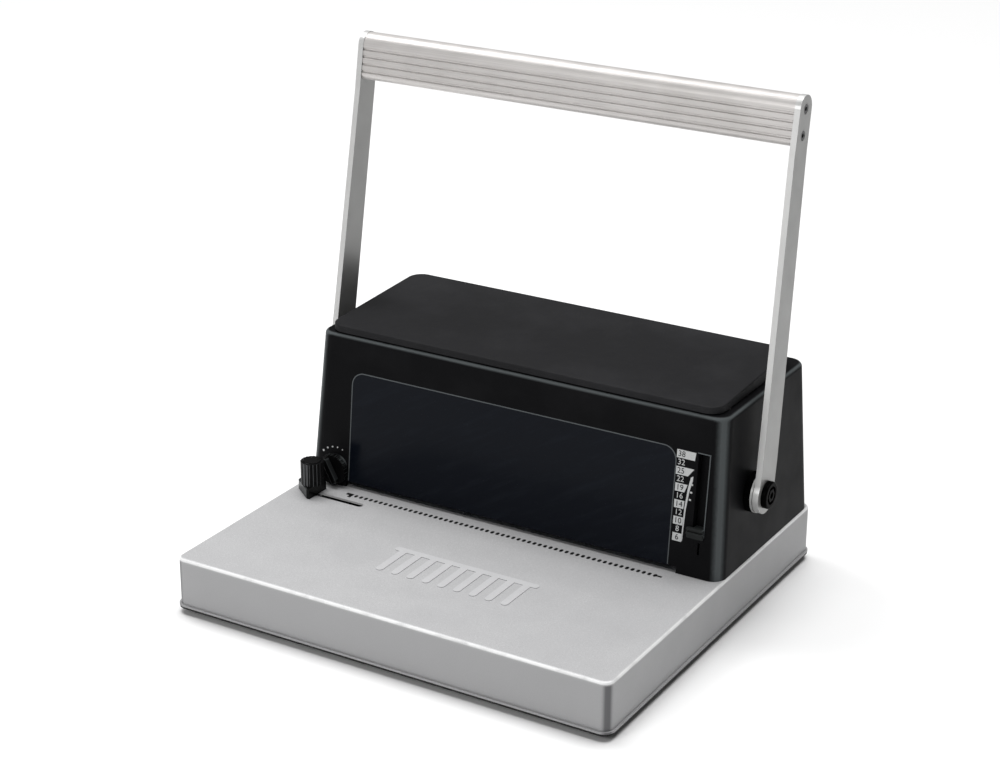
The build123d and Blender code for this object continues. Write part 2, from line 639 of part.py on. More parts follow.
for side, sign in SIDES:
    with BuildPart() as handle_arm:
        with BuildSketch(Plane.YZ.offset(slab_start(sign, ARM_TOP_INNER, ARM_SPREAD))):
            with BuildSketch(mode=Mode.PRIVATE) as ends:
                with Locations((PIVOT_Y, PIVOT_Z)):
                    Circle(ARM_FOOT_RADIUS)
                with Locations((ARM_TIP_Y, ARM_TIP_Z)):
                    Circle(ARM_TIP_RADIUS)
            make_hull(ends.edges())
            with Locations((PIVOT_Y, PIVOT_Z)):
                Circle(ARM_EYE_RADIUS)
        extrude(amount=ARM_SPREAD)
        # Seen from the front the bar is upright at the eye, leans inwards, and is upright again.
        with BuildSketch(Plane.XZ):
            with BuildLine():
                Polyline(
                    (sign * ARM_EYE_INNER, PIVOT_Z - 2 * ARM_EYE_RADIUS),
                    (sign * ARM_EYE_INNER, ARM_BEND_LOW),
                    (sign * ARM_TOP_INNER, ARM_BEND_HIGH),
                    (sign * ARM_TOP_INNER, ARM_TIP_Z + 2 * ARM_TIP_RADIUS),
                    (sign * ARM_TOP_OUTER, ARM_TIP_Z + 2 * ARM_TIP_RADIUS),
                    (sign * ARM_TOP_OUTER, ARM_BEND_HIGH),
                    (sign * ARM_EYE_OUTER, ARM_BEND_LOW),
                    (sign * ARM_EYE_OUTER, PIVOT_Z - 2 * ARM_EYE_RADIUS),
                    close=True,
                )
            make_face()
        extrude(amount=2 * ARM_TIP_Y, both=True, mode=Mode.INTERSECT)
        with BuildSketch(Plane.YZ.offset(sign * ARM_EYE_OUTER)):
            with Locations((PIVOT_Y, PIVOT_Z)):
                Circle(SHAFT_RADIUS)
            with Locations(*GRIP_SCREWS):
                Circle(2.2)
        extrude(amount=-sign * ARM_SPREAD, mode=Mode.SUBTRACT)
        with BuildSketch(Plane.YZ.offset(sign * ARM_TOP_OUTER)):
            with Locations(*GRIP_SCREWS):
                Circle(4.2)
        extrude(amount=-sign * 2.4, mode=Mode.SUBTRACT)
    write(handle_arm, f"handle_arm_{side}")

# The grip is an extrusion: a rounded top, a grooved front, screw ports and a hollow between them.
GRIP_TOP_RADIUS = 10.6
GRIP_FOOT_RADIUS = 5.0
GRIP_GROOVES = 4
GRIP_PLANE = Plane(
    origin=(-ARM_TOP_INNER, ARM_TIP_Y, ARM_TIP_Z),
    x_dir=(0, cos(ARM_LEAN), -sin(ARM_LEAN)),
    z_dir=(1, 0, 0),
)

with BuildPart() as handle_grip:
    with BuildSketch(GRIP_PLANE):
        Circle(GRIP_TOP_RADIUS)
        with Locations((0, -GRIP_LENGTH_BELOW_TIP / 2)):
            Rectangle(2 * GRIP_TOP_RADIUS, GRIP_LENGTH_BELOW_TIP)
    extrude(amount=2 * ARM_TOP_INNER)
    fillet(
        handle_grip.edges().filter_by(Axis.X).group_by(GRIP_PLANE.location.y_axis)[0],
        GRIP_FOOT_RADIUS,
    )
    with BuildSketch(GRIP_PLANE):
        with Locations((-GRIP_TOP_RADIUS, -13.0)):
            with GridLocations(1.0, 6.2, 1, GRIP_GROOVES):
                Circle(1.25)
        with Locations((GRIP_TOP_RADIUS, -13.0)):
            with GridLocations(1.0, 6.2, 1, GRIP_GROOVES):
                Circle(1.25)
        with Locations((0, -GRIP_SCREW_DROP / 2)):
            RectangleRounded(12.0, 10.0, 1.5)
    extrude(amount=2 * ARM_TOP_INNER, mode=Mode.SUBTRACT)
    for start, direction in ((0, 1), (2 * ARM_TOP_INNER, -1)):
        with BuildSketch(GRIP_PLANE.offset(start)):
            with Locations((0, 0), (0, -GRIP_SCREW_DROP)):
                Circle(2.1)
        extrude(amount=direction * 18.0, mode=Mode.SUBTRACT)
write(handle_grip, "handle_grip")

with BuildPart() as grip_screws:
    for sign in (-1, 1):
        with BuildSketch(Plane.YZ.offset(sign * (ARM_TOP_OUTER - 2.4))):
            with Locations(*GRIP_SCREWS):
                Circle(3.9)
        extrude(amount=sign * 2.2)
        with BuildSketch(Plane.YZ.offset(sign * (ARM_TOP_OUTER - 2.4))):
            with Locations(*GRIP_SCREWS):
                Circle(2.0)
        extrude(amount=-sign * 18.0)
        with BuildSketch(Plane.YZ.offset(sign * (ARM_TOP_OUTER - 0.2))):
            with Locations(*GRIP_SCREWS):
                RegularPolygon(1.9, 6)
        extrude(amount=-sign * 1.5, mode=Mode.SUBTRACT)
write(grip_screws, "grip_screws")

BOSS_END = 200.0
BOSS_FLANGE = 5.2
BOSS_INNER = 186.5

for side, sign in SIDES:
    with BuildPart() as pivot_cap:
        with BuildSketch(Plane.YZ.offset(sign * ARM_EYE_OUTER)):
            with Locations((PIVOT_Y, PIVOT_Z)):
                Circle(CAP_RADIUS)
        extrude(amount=sign * (CAP_END - ARM_EYE_OUTER))
        fillet(pivot_cap.faces().sort_by(Axis.X)[-1 if sign > 0 else 0].edges(), 1.4)
        with BuildSketch(Plane.YZ.offset(sign * CAP_END)):
            with Locations((PIVOT_Y, PIVOT_Z)):
                Circle(7.6)
                RegularPolygon(5.6, 6, mode=Mode.SUBTRACT)
        extrude(amount=-sign * 2.0, mode=Mode.SUBTRACT)
        with BuildSketch(Plane.YZ.offset(sign * CAP_END)):
            with Locations((PIVOT_Y, PIVOT_Z)):
                RegularPolygon(3.0, 6)
        extrude(amount=-sign * 3.0, mode=Mode.SUBTRACT)
        with BuildSketch(Plane.YZ.offset(sign * ARM_EYE_OUTER)):
            with Locations((PIVOT_Y, PIVOT_Z)):
                Circle(3.5)
        extrude(amount=-sign * 13.0)
    write(pivot_cap, f"pivot_cap_{side}")

    with BuildPart() as pivot_boss:
        with BuildSketch(Plane.YZ.offset(sign * (BOSS_END - BOSS_FLANGE))):
            with Locations((PIVOT_Y, PIVOT_Z)):
                Circle(ARM_EYE_RADIUS + 0.6)
        extrude(amount=sign * BOSS_FLANGE)
        with BuildSketch(Plane.YZ.offset(sign * BOSS_INNER)):
            with Locations((PIVOT_Y, PIVOT_Z)):
                Circle(12.0)
        extrude(amount=sign * (BOSS_END - BOSS_INNER))
        with Locations(Location((sign * (BOSS_INNER + 4.5), PIVOT_Y, PIVOT_Z), (0, 90, 0))):
            Cylinder(SHAFT_RADIUS + GAP, 20.0, mode=Mode.SUBTRACT)
    write(pivot_boss, f"pivot_boss_{side}")

with BuildPart() as pivot_washers:
    for sign in (-1, 1):
        with BuildSketch(Plane.YZ.offset(sign * BOSS_END)):
            with Locations((PIVOT_Y, PIVOT_Z)):
                Circle(ARM_EYE_RADIUS + 0.4)
                Circle(SHAFT_RADIUS + GAP, mode=Mode.SUBTRACT)
        extrude(amount=sign * 1.8)
write(pivot_washers, "pivot_washers")

# ---------------------------------------------------------------- housing
PANEL_LEFT = -156.0
PANEL_RIGHT = 151.0
PANEL_HEIGHT = 104.0
PANEL_CORNER = 12.0
PANEL_THICKNESS = 1.2
BOSS_HOLE = 12.3
KNUCKLE_INNER = 105.0
KNUCKLE_OUTER = 135.0
KNUCKLE_END = 6.6
PANEL_MIDDLE = (PANEL_LEFT + PANEL_RIGHT) / 2


def panel_outline(margin):
    """Front panel: square at the paper throat, rounded at its top corners."""
    with BuildSketch(FRONT_FACE) as outline:
        with Locations((PANEL_MIDDLE, PANEL_HEIGHT / 2)):
            Rectangle(PANEL_RIGHT - PANEL_LEFT - 2 * margin, PANEL_HEIGHT - 2 * margin)
        fillet(outline.vertices().group_by(Axis.Y)[-1], PANEL_CORNER - margin)
    return outline.sketch


housing_outer = tapered_block(BASE_TOP, HOUSING_TOP, 0)
housing_hollow = tapered_block(BASE_TOP, HOUSING_TOP - HOUSING_WALL, HOUSING_WALL)

with BuildPart() as housing:
    add(housing_outer)
    fillet(housing.faces().sort_by(Axis.Z)[-1].edges(), RIM_ROUND)
    add(housing_hollow, mode=Mode.SUBTRACT)
    # Boss of the margin dial.
    with Locations(Location((DIAL_X, DIAL_BACK + 0.4 + 2.8, DIAL_Z), (90, 0, 0))):
        Cylinder(12.5, 5.6)
    # Screw posts in the corners.
    with BuildSketch(Plane.XY.offset(BASE_TOP)):
        with Locations(*HOUSING_POSTS):
            Circle(6.0)
    extrude(amount=20.0)
    # The comb well, open at the top under the lid.
    with BuildSketch(Plane.XY.offset(HOUSING_TOP)):
        with Locations((0, (WELL_FRONT + WELL_REAR) / 2)):
            RectangleRounded(2 * WELL_HALF_WIDTH, WELL_REAR - WELL_FRONT, 8.0)
    extrude(amount=-HOUSING_WALL, mode=Mode.SUBTRACT)
    # Recess of the front panel, then the paper throat below it.
    extrude(panel_outline(0), amount=-PANEL_THICKNESS, mode=Mode.SUBTRACT)
    with Locations((0, HOUSING_BOTTOM_FRONT, (BASE_TOP + THROAT_TOP) / 2)):
        Box(2 * THROAT_HALF_WIDTH, 12.0, THROAT_TOP - BASE_TOP, mode=Mode.SUBTRACT)
    # Window of the comb size gauge and the small slot below it.
    with BuildSketch(FRONT_FACE.offset(2.0)):
        with Locations((GAUGE_X, (GAUGE_LOW + GAUGE_HIGH) / 2)):
            RectangleRounded(GAUGE_WIDTH + 0.2, GAUGE_HIGH - GAUGE_LOW + 0.2, 1.0)
        with Locations((GAUGE_X + 1.5, 24.5)):
            Rectangle(1.8, 10.0)
    extrude(amount=-HOUSING_WALL - 2.5, mode=Mode.SUBTRACT)
    # Hole of the margin dial.
    with Locations(Location((DIAL_X, DIAL_BACK + 5.0, DIAL_Z), (90, 0, 0))):
        Cylinder(4.4, 14.0, mode=Mode.SUBTRACT)
    # Holes for the handle's pivot bosses.
    with Locations(Location((0, PIVOT_Y, PIVOT_Z), (0, 90, 0))):
        Cylinder(BOSS_HOLE, 2 * HOUSING_BOTTOM_HALF + 2, mode=Mode.SUBTRACT)
    # Screw holes of the corner posts.
    with BuildSketch(Plane.XY.offset(BASE_TOP)):
        with Locations(*HOUSING_POSTS):
            Circle(1.55)
    extrude(amount=16.0, mode=Mode.SUBTRACT)
    # Moulded hinge lugs on the rear rim.
    for sign in (-1, 1):
        for inner in (KNUCKLE_INNER, KNUCKLE_OUTER - KNUCKLE_END):
            start = slab_start(sign, inner, KNUCKLE_END)
            with BuildSketch(Plane.YZ.offset(start)):
                with Locations((HINGE_Y, HINGE_Z)):
                    Circle(HINGE_RADIUS)
                with Locations((HINGE_Y, (HOUSING_TOP - 3.0 + HINGE_Z) / 2)):
                    Rectangle(5.6, HINGE_Z - HOUSING_TOP + 3.0)
            extrude(amount=KNUCKLE_END)
            with BuildSketch(Plane.YZ.offset(start)):
                with Locations((HINGE_Y, HINGE_Z)):
                    Circle(HINGE_PIN_RADIUS)
            extrude(amount=KNUCKLE_END, mode=Mode.SUBTRACT)
write(housing, "housing")

with BuildPart() as housing_screws:
    with BuildSketch(Plane.XY.offset(BASE_TOP - SHEET)):
        with Locations(*HOUSING_POSTS):
            Circle(3.2)
    extrude(amount=-2.2)
    with BuildSketch(Plane.XY.offset(BASE_TOP - SHEET)):
        with Locations(*HOUSING_POSTS):
            Circle(1.5)
    extrude(amount=14.0)
write(housing_screws, "housing_screws")

with BuildPart() as front_panel:
    extrude(panel_outline(0.15), amount=-PANEL_THICKNESS)
    with Locations((0, HOUSING_BOTTOM_FRONT, (BASE_TOP + THROAT_TOP) / 2)):
        Box(2 * THROAT_HALF_WIDTH, 12.0, THROAT_TOP - BASE_TOP, mode=Mode.SUBTRACT)
write(front_panel, "front_panel")

KNUCKLE_SPAN = KNUCKLE_OUTER - KNUCKLE_INNER

with BuildPart() as hinge_pins:
    for sign in (-1, 1):
        with BuildSketch(Plane.YZ.offset(slab_start(sign, KNUCKLE_INNER, KNUCKLE_SPAN))):
            with Locations((HINGE_Y, HINGE_Z)):
                Circle(HINGE_PIN_RADIUS)
        extrude(amount=KNUCKLE_SPAN)
write(hinge_pins, "hinge_pins")

with BuildPart() as lid_bumpers:
    with BuildSketch(Plane.XY.offset(HOUSING_TOP)):
        with Locations(*[(x, y) for x in (-180.5, 180.5) for y in (44.0, 146.0)]):
            Circle(2.6)
    extrude(amount=LID_BOTTOM - HOUSING_TOP)
write(lid_bumpers, "lid_bumpers")

# ---------------------------------------------------------------- lid
LID_SLOPE = atan2(LID_REAR_TOP - LID_FRONT_TOP, LID_REAR - LID_FRONT)
LID_TOP_PLANE = Plane(
    origin=(0, LID_FRONT, LID_FRONT_TOP),
    x_dir=(1, 0, 0),
    z_dir=(0, -sin(LID_SLOPE), cos(LID_SLOPE)),
)


def lid_block(inset, cut_plane):
    """Rounded block of the lid's outline moved in by inset, cut off by the sloping top plane."""
    with BuildPart() as block:
        with BuildSketch(Plane.XY.offset(LID_BOTTOM)):
            with Locations((0, (LID_FRONT + LID_REAR) / 2)):
                RectangleRounded(
                    2 * (LID_HALF_WIDTH - inset),
                    LID_REAR - LID_FRONT - 2 * inset,
                    LID_CORNER - inset,
                )
        extrude(amount=20.0)
        split(bisect_by=cut_plane, keep=Keep.BOTTOM)
    return block.part


lid_outer = lid_block(0, LID_TOP_PLANE)
lid_hollow = lid_block(LID_WALL, LID_TOP_PLANE.offset(-LID_WALL))

with BuildPart() as lid:
    add(lid_outer)
    fillet(lid.faces().sort_by(Axis.Z)[-1].edges(), LID_EDGE_ROUND)
    add(lid_hollow, mode=Mode.SUBTRACT)
    for sign in (-1, 1):
        inner = KNUCKLE_INNER + KNUCKLE_END + 0.4
        length = KNUCKLE_SPAN - 2 * KNUCKLE_END - 0.8
        with BuildSketch(Plane.YZ.offset(slab_start(sign, inner, length))):
            with Locations((HINGE_Y, HINGE_Z)):
                Circle(HINGE_RADIUS)
            with Locations(((HINGE_Y + LID_REAR) / 2 - 0.5, HINGE_Z)):
                Rectangle(HINGE_Y - LID_REAR + 1.0, 2 * HINGE_RADIUS)
            with Locations((HINGE_Y, HINGE_Z)):
                Circle(HINGE_PIN_RADIUS + RUNNING, mode=Mode.SUBTRACT)
        extrude(amount=length)
write(lid, "lid")

# ---------------------------------------------------------------- comb opener
DECK_HALF_WIDTH = 184.0
DECK_FRONT = 27.0
DECK_REAR = 168.0
DECK_TOP = DECK_BOTTOM + DECK_THICKNESS
FINGER_Y = 65.0
FINGER_TOP = 184.0
HOOK_Y = 76.5
HOOK_TOP = 181.0
HOOK_PLATE_BOTTOM = 164.2
HOOK_PLATE_TOP = 166.8
HOOK_PLATE_HALF = 157.0
RAIL_BOTTOM = 161.0
RAIL_FRONT = 58.0
RAIL_REAR = 142.0
TAB_X = 152.0
TAB_Y = 90.0
SLOT_FRONT = HOOK_Y - 3.0
SLOT_REAR = HOOK_Y + OPENER_TRAVEL + 8.0

with BuildPart() as comb_deck:
    with BuildSketch(Plane.XY.offset(DECK_BOTTOM)):
        with Locations((0, (DECK_FRONT + DECK_REAR) / 2)):
            RectangleRounded(2 * DECK_HALF_WIDTH, DECK_REAR - DECK_FRONT, 6.0)
        with Locations(*punch_places((SLOT_FRONT + SLOT_REAR) / 2)):
            Rectangle(4.4, SLOT_REAR - SLOT_FRONT, mode=Mode.SUBTRACT)
        with Locations((TAB_X, TAB_Y + OPENER_TRAVEL / 2)):
            Rectangle(8.0, OPENER_TRAVEL + 14.0, mode=Mode.SUBTRACT)
        with Locations(*FRAME_FEET):
            Circle(2.2, mode=Mode.SUBTRACT)
    extrude(amount=DECK_THICKNESS)
write(comb_deck, "comb_deck")

with BuildPart() as deck_screws:
    with BuildSketch(Plane.XY.offset(DECK_BOTTOM - 8.0)):
        with Locations(*FRAME_FEET):
            Circle(2.0)
    extrude(amount=8.0 + DECK_THICKNESS)
    with BuildSketch(Plane.XY.offset(DECK_TOP)):
        with Locations(*FRAME_FEET):
            Circle(3.6)
    extrude(amount=2.2)
    fillet(deck_screws.faces().group_by(Axis.Z)[-1].edges(), 0.9)
write(deck_screws, "deck_screws")

with BuildPart() as comb_fingers:
    with BuildSketch(Plane.XY.offset(DECK_TOP)):
        with Locations((0, FINGER_Y)):
            Rectangle(2 * HOOK_PLATE_HALF, 6.0)
    extrude(amount=2.5)
    with BuildSketch(Plane.XZ.offset(-FINGER_Y - 1.1)):
        for i in range(HOLE_COUNT + 1):
            with Locations(((i - HOLE_COUNT / 2) * HOLE_PITCH, (DECK_TOP + FINGER_TOP) / 2)):
                RectangleRounded(5.0, FINGER_TOP - DECK_TOP, 1.8)
    extrude(amount=2.2)
write(comb_fingers, "comb_fingers")

with BuildPart() as slide_rails:
    for sign in (-1, 1):
        with BuildSketch(Plane.XZ.offset(-RAIL_REAR)):
            with Locations((sign * (HOOK_PLATE_HALF + GAP + 1.5), (RAIL_BOTTOM + DECK_BOTTOM) / 2)):
                Rectangle(3.0, DECK_BOTTOM - RAIL_BOTTOM)
            with Locations((sign * (HOOK_PLATE_HALF - 1.5), RAIL_BOTTOM + 1.45)):
                Rectangle(7.0, 2.9)
        extrude(amount=RAIL_REAR - RAIL_FRONT)
write(slide_rails, "slide_rails")

with BuildPart() as hook_plate:
    with BuildSketch(Plane.XY.offset(HOOK_PLATE_BOTTOM)):
        with Locations((0, 91.0)):
            Rectangle(2 * HOOK_PLATE_HALF, 54.0)
        with GridLocations(2 * HOOK_PLATE_HALF / 4, 1.0, 4, 1):
            with Locations((0, 103.0)):
                RectangleRounded(56.0, 16.0, 4.0, mode=Mode.SUBTRACT)
    extrude(amount=HOOK_PLATE_TOP - HOOK_PLATE_BOTTOM)
    for x, y in punch_places(HOOK_Y):
        with BuildSketch(Plane.YZ.offset(x - 1.7)):
            with BuildLine():
                Polyline(
                    (y - 1.5, HOOK_PLATE_TOP - 0.5),
                    (y + 1.5, HOOK_PLATE_TOP - 0.5),
                    (y + 1.5, HOOK_TOP - 2.6),
                    (y + 6.0, HOOK_TOP - 2.6),
                    (y + 6.0, HOOK_TOP - 1.2),
                    (y + 4.8, HOOK_TOP),
                    (y - 1.5, HOOK_TOP),
                    close=True,
                )
            make_face()
        extrude(amount=3.4)
write(hook_plate, "hook_plate")

with BuildPart() as opener_tab:
    with BuildSketch(Plane.XY.offset(HOOK_PLATE_TOP)):
        with Locations((TAB_X, TAB_Y)):
            RectangleRounded(7.0, 12.0, 1.5)
    extrude(amount=DECK_TOP - HOOK_PLATE_TOP + 1.0)
    with BuildSketch(Plane.XY.offset(DECK_TOP + 1.0)):
        with Locations((TAB_X, TAB_Y)):
            RectangleRounded(12.0, 14.0, 2.5)
    extrude(amount=10.0)
    fillet(opener_tab.faces().sort_by(Axis.Z)[-1].edges(), 1.5)
write(opener_tab, "opener_tab")

# ---------------------------------------------------------------- margin dial and depth stop
NUT_FRONT = 27.0
NUT_REAR = 36.0
STOP_FRONT = 30.5
STOP_THICKNESS = 3.0
STOP_BAR_END = 152.0
DIAL_THICKNESS = 4.5
DIAL_BAR_ANGLE = 119
SCREW_END = 46.0

with BuildPart() as margin_dial:
    with BuildSketch(Plane.XZ.offset(-DIAL_BACK)):
        with Locations((DIAL_X, DIAL_Z)):
            Circle(DIAL_RADIUS)
            with PolarLocations(DIAL_RADIUS + 0.3, 24):
                Circle(0.9, mode=Mode.SUBTRACT)
    extrude(amount=DIAL_THICKNESS)
    with BuildSketch(Plane.XZ.offset(-DIAL_BACK + DIAL_THICKNESS)):
        with Locations(Location((DIAL_X, DIAL_Z), DIAL_BAR_ANGLE)):
            SlotOverall(2 * DIAL_RADIUS - 3.0, 5.4)
    extrude(amount=5.0)
    fillet(margin_dial.faces().sort_by(Axis.Y)[0].edges(), 1.0)
    with Locations(Location((DIAL_X, DIAL_BACK, DIAL_Z), (90, 0, 0))):
        Cylinder(4.0, 5.0, mode=Mode.SUBTRACT)
write(margin_dial, "margin_dial")

with BuildPart() as dial_shaft:
    with BuildSketch(Plane.XZ.offset(-SCREW_END)):
        with Locations((DIAL_X, DIAL_Z)):
            Circle(4.0)
    extrude(amount=SCREW_END - DIAL_BACK + 2.5)
    for i in range(8):
        with BuildSketch(Plane.XZ.offset(-SCREW_END + 1.0 + 2.4 * i)):
            with Locations((DIAL_X, DIAL_Z)):
                Circle(4.0)
                Circle(3.5, mode=Mode.SUBTRACT)
        extrude(amount=1.0, mode=Mode.SUBTRACT)
write(dial_shaft, "dial_shaft")

with BuildPart() as dial_bracket:
    with BuildSketch(Plane.XZ.offset(-20.0)):
        with Locations((DIAL_X, (BASE_TOP + DIAL_Z + 8.0) / 2)):
            Rectangle(11.0, DIAL_Z + 8.0 - BASE_TOP)
        with Locations((DIAL_X, DIAL_Z)):
            Circle(4.0 + RUNNING, mode=Mode.SUBTRACT)
    extrude(amount=3.0)
    with BuildSketch(Plane.XY.offset(BASE_TOP)):
        with Locations((DIAL_X, 21.5)):
            Rectangle(11.0, 9.0)
    extrude(amount=2.0)
write(dial_bracket, "dial_bracket")

with BuildPart() as depth_stop:
    with BuildSketch(Plane.XY.offset(BASE_TOP + 0.4)):
        with Locations(((DIAL_X + STOP_BAR_END) / 2, STOP_FRONT + STOP_THICKNESS / 2)):
            Rectangle(STOP_BAR_END - DIAL_X, STOP_THICKNESS)
    extrude(amount=THROAT_TOP - BASE_TOP - 1.0)
    with BuildSketch(Plane.XZ.offset(-NUT_REAR)):
        with Locations((DIAL_X, (BASE_TOP + 0.4 + DIAL_Z + 7.0) / 2)):
            Rectangle(13.0, DIAL_Z + 7.0 - BASE_TOP - 0.4)
        with Locations((DIAL_X, DIAL_Z)):
            Circle(4.0 + RUNNING, mode=Mode.SUBTRACT)
    extrude(amount=NUT_REAR - NUT_FRONT)
write(depth_stop, "depth_stop")

# ---------------------------------------------------------------- side guide
GUIDE_BOTTOM = BASE_TOP + 0.2
BLOCK_TOP = 58.2
FENCE_TOP = 58.6
KNOB_BOTTOM = 58.9
KNOB_TOP = 79.0
KNOB_RADIUS = 10.0
STUD_RADIUS = 1.8
CLAMP_BOTTOM = 44.4

with BuildPart() as edge_guide:
    with BuildSketch(Plane.XY.offset(GUIDE_BOTTOM)) as block_outline:
        with BuildLine():
            Polyline(
                (FENCE_X, -31.0),
                (FENCE_X, -3.2),
                (FENCE_X - 21.0, -3.2),
                (FENCE_X - 21.0, -15.0),
                close=True,
            )
        make_face()
        fillet(block_outline.vertices(), 2.0)
    extrude(amount=BLOCK_TOP - GUIDE_BOTTOM)
    chamfer(edge_guide.faces().sort_by(Axis.Z)[-1].edges(), 0.8)
    with BuildSketch(Plane.XY.offset(GUIDE_BOTTOM)):
        with Locations((FENCE_X - 1.25, -16.2)):
            Rectangle(2.5, 25.0)
    extrude(amount=FENCE_TOP - GUIDE_BOTTOM)
    # The key that runs in the plate's slot.
    with BuildSketch(Plane.XY.offset(GUIDE_BOTTOM)):
        with Locations((KNOB_X, KNOB_Y)):
            Rectangle(5.0, SLOT_WIDTH - 0.4)
    extrude(amount=-1.5)
    with Locations((KNOB_X, KNOB_Y, BLOCK_TOP)):
        Hole(STUD_RADIUS + 0.3)
write(edge_guide, "edge_guide")

with BuildPart() as guide_clamp_nut:
    with BuildSketch(Plane.XY.offset(CLAMP_BOTTOM)):
        with Locations((KNOB_X + 1.0, KNOB_Y)):
            RectangleRounded(13.0, 11.0, 1.5)
        with Locations((KNOB_X, KNOB_Y)):
            Circle(STUD_RADIUS + RUNNING, mode=Mode.SUBTRACT)
    extrude(amount=BASE_TOP - SHEET - 0.2 - CLAMP_BOTTOM)
write(guide_clamp_nut, "guide_clamp_nut")

with BuildPart() as guide_knob:
    with BuildSketch(Plane.XY.offset(KNOB_BOTTOM)):
        with Locations((KNOB_X, KNOB_Y)):
            Circle(KNOB_RADIUS)
            with PolarLocations(KNOB_RADIUS + 0.4, 20):
                Circle(1.0, mode=Mode.SUBTRACT)
    extrude(amount=KNOB_TOP - KNOB_BOTTOM)
    with BuildSketch(Plane.XY.offset(KNOB_BOTTOM)):
        with Locations((KNOB_X, KNOB_Y)):
            Circle(STUD_RADIUS)
    extrude(amount=-(KNOB_BOTTOM - CLAMP_BOTTOM + 1.4))
    with BuildSketch(Plane.XY.offset(KNOB_TOP)):
        with Locations((KNOB_X, KNOB_Y)):
            Circle(KNOB_RADIUS - 2.2)
    extrude(amount=0.8)
    chamfer(guide_knob.faces().sort_by(Axis.Z)[-1].edges(), 0.4)
write(guide_knob, "guide_knob")

# ---------------------------------------------------------------- comb size gauge
GAUGE_WALL = 1.2
GAUGE_LIP = 0.4
SLIDER_LOW = 32.8
SLIDER_HEIGHT = 9.0
SLIDER_STEM_LOW = 36.0
SLIDER_STEM_HEIGHT = 5.4

with BuildPart() as gauge_channel:
    with BuildSketch(FRONT_FACE.offset(-GAUGE_DEPTH)):
        with Locations((GAUGE_X, (GAUGE_LOW + GAUGE_HIGH) / 2)):
            RectangleRounded(GAUGE_WIDTH, GAUGE_HIGH - GAUGE_LOW, 0.9)
    extrude(amount=GAUGE_DEPTH + GAUGE_LIP)
    with BuildSketch(FRONT_FACE.offset(GAUGE_LIP)):
        with Locations((GAUGE_X, (GAUGE_LOW + GAUGE_HIGH) / 2)):
            Rectangle(GAUGE_WIDTH - 2 * GAUGE_WALL, GAUGE_HIGH - GAUGE_LOW - 2 * GAUGE_WALL)
    extrude(amount=-(GAUGE_DEPTH + GAUGE_LIP - GAUGE_WALL), mode=Mode.SUBTRACT)
write(gauge_channel, "gauge_channel")

with BuildPart() as gauge_slider:
    with BuildSketch(FRONT_FACE.offset(0.7)):
        with Locations((GAUGE_X - 1.8, SLIDER_LOW + SLIDER_HEIGHT / 2)):
            RectangleRounded(14.4, SLIDER_HEIGHT, 1.0)
    extrude(amount=1.4)
    with BuildSketch(FRONT_FACE.offset(0.7)):
        with Locations((GAUGE_X - 1.8, SLIDER_LOW + 4.4), (GAUGE_X - 1.8, SLIDER_LOW + 8.0)):
            RectangleRounded(14.4, 1.8, 0.8)
    extrude(amount=3.0)
    with BuildSketch(FRONT_FACE.offset(0.7)):
        with Locations((GAUGE_X, SLIDER_STEM_LOW + SLIDER_STEM_HEIGHT / 2)):
            Rectangle(GAUGE_WIDTH - 2 * GAUGE_WALL - 0.6, SLIDER_STEM_HEIGHT)
    extrude(amount=-(GAUGE_DEPTH - GAUGE_WALL + 0.4))
write(gauge_slider, "gauge_slider")
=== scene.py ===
import math

import bmesh
import bpy
from mathutils import Matrix, Vector


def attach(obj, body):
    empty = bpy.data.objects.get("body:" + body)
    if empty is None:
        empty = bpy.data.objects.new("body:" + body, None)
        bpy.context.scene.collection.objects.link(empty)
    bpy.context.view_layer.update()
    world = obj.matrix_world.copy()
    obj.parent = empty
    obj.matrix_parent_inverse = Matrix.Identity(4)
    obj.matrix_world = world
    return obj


# Comb binding machine.  Metres, in the CAD frame: +Z up, -Y is the front, the floor is z = 0.
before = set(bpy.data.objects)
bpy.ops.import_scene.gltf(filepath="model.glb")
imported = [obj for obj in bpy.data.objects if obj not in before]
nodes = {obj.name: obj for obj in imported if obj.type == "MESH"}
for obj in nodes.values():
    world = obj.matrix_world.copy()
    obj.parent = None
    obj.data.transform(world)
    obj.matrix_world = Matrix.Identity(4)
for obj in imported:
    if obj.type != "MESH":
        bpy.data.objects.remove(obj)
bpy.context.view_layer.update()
scene = bpy.context.scene
MM = 0.001

# ---------------------------------------------------------------- camera
camera_data = bpy.data.cameras.new("camera")
camera_data.lens = 80.93
camera_data.sensor_width = 36.0
camera_data.clip_end = 100.0
camera = bpy.data.objects.new("camera", camera_data)
right = Vector((0.85844, 0.51289, 0.00452)).normalized()
back = Vector((0.47449, -0.79746, 0.3727)).normalized()
up = back.cross(right).normalized()
place = Matrix((right, up, back)).transposed().to_4x4()
place.translation = Vector((0.85346, -1.43848, 0.8526))
camera.matrix_world = place
scene.collection.objects.link(camera)
scene.camera = camera

# ---------------------------------------------------------------- studio
scene.view_settings.view_transform = "Standard"
scene.view_settings.look = "None"

world = bpy.data.worlds.new("studio")
world.use_nodes = True
world.node_tree.nodes["Background"].inputs["Color"].default_value = (1.0, 1.0, 1.0, 1.0)
world.node_tree.nodes["Background"].inputs["Strength"].default_value = 0.14
scene.world = world


def add_sun(name, direction, strength, spread):
    """A soft light from far away; direction points from the object to the light."""
    data = bpy.data.lights.new(name, "SUN")
    data.energy = strength
    data.angle = math.radians(spread)
    light = bpy.data.objects.new(name, data)
    light.rotation_euler = Vector(direction).to_track_quat("Z", "Y").to_euler()
    scene.collection.objects.link(light)


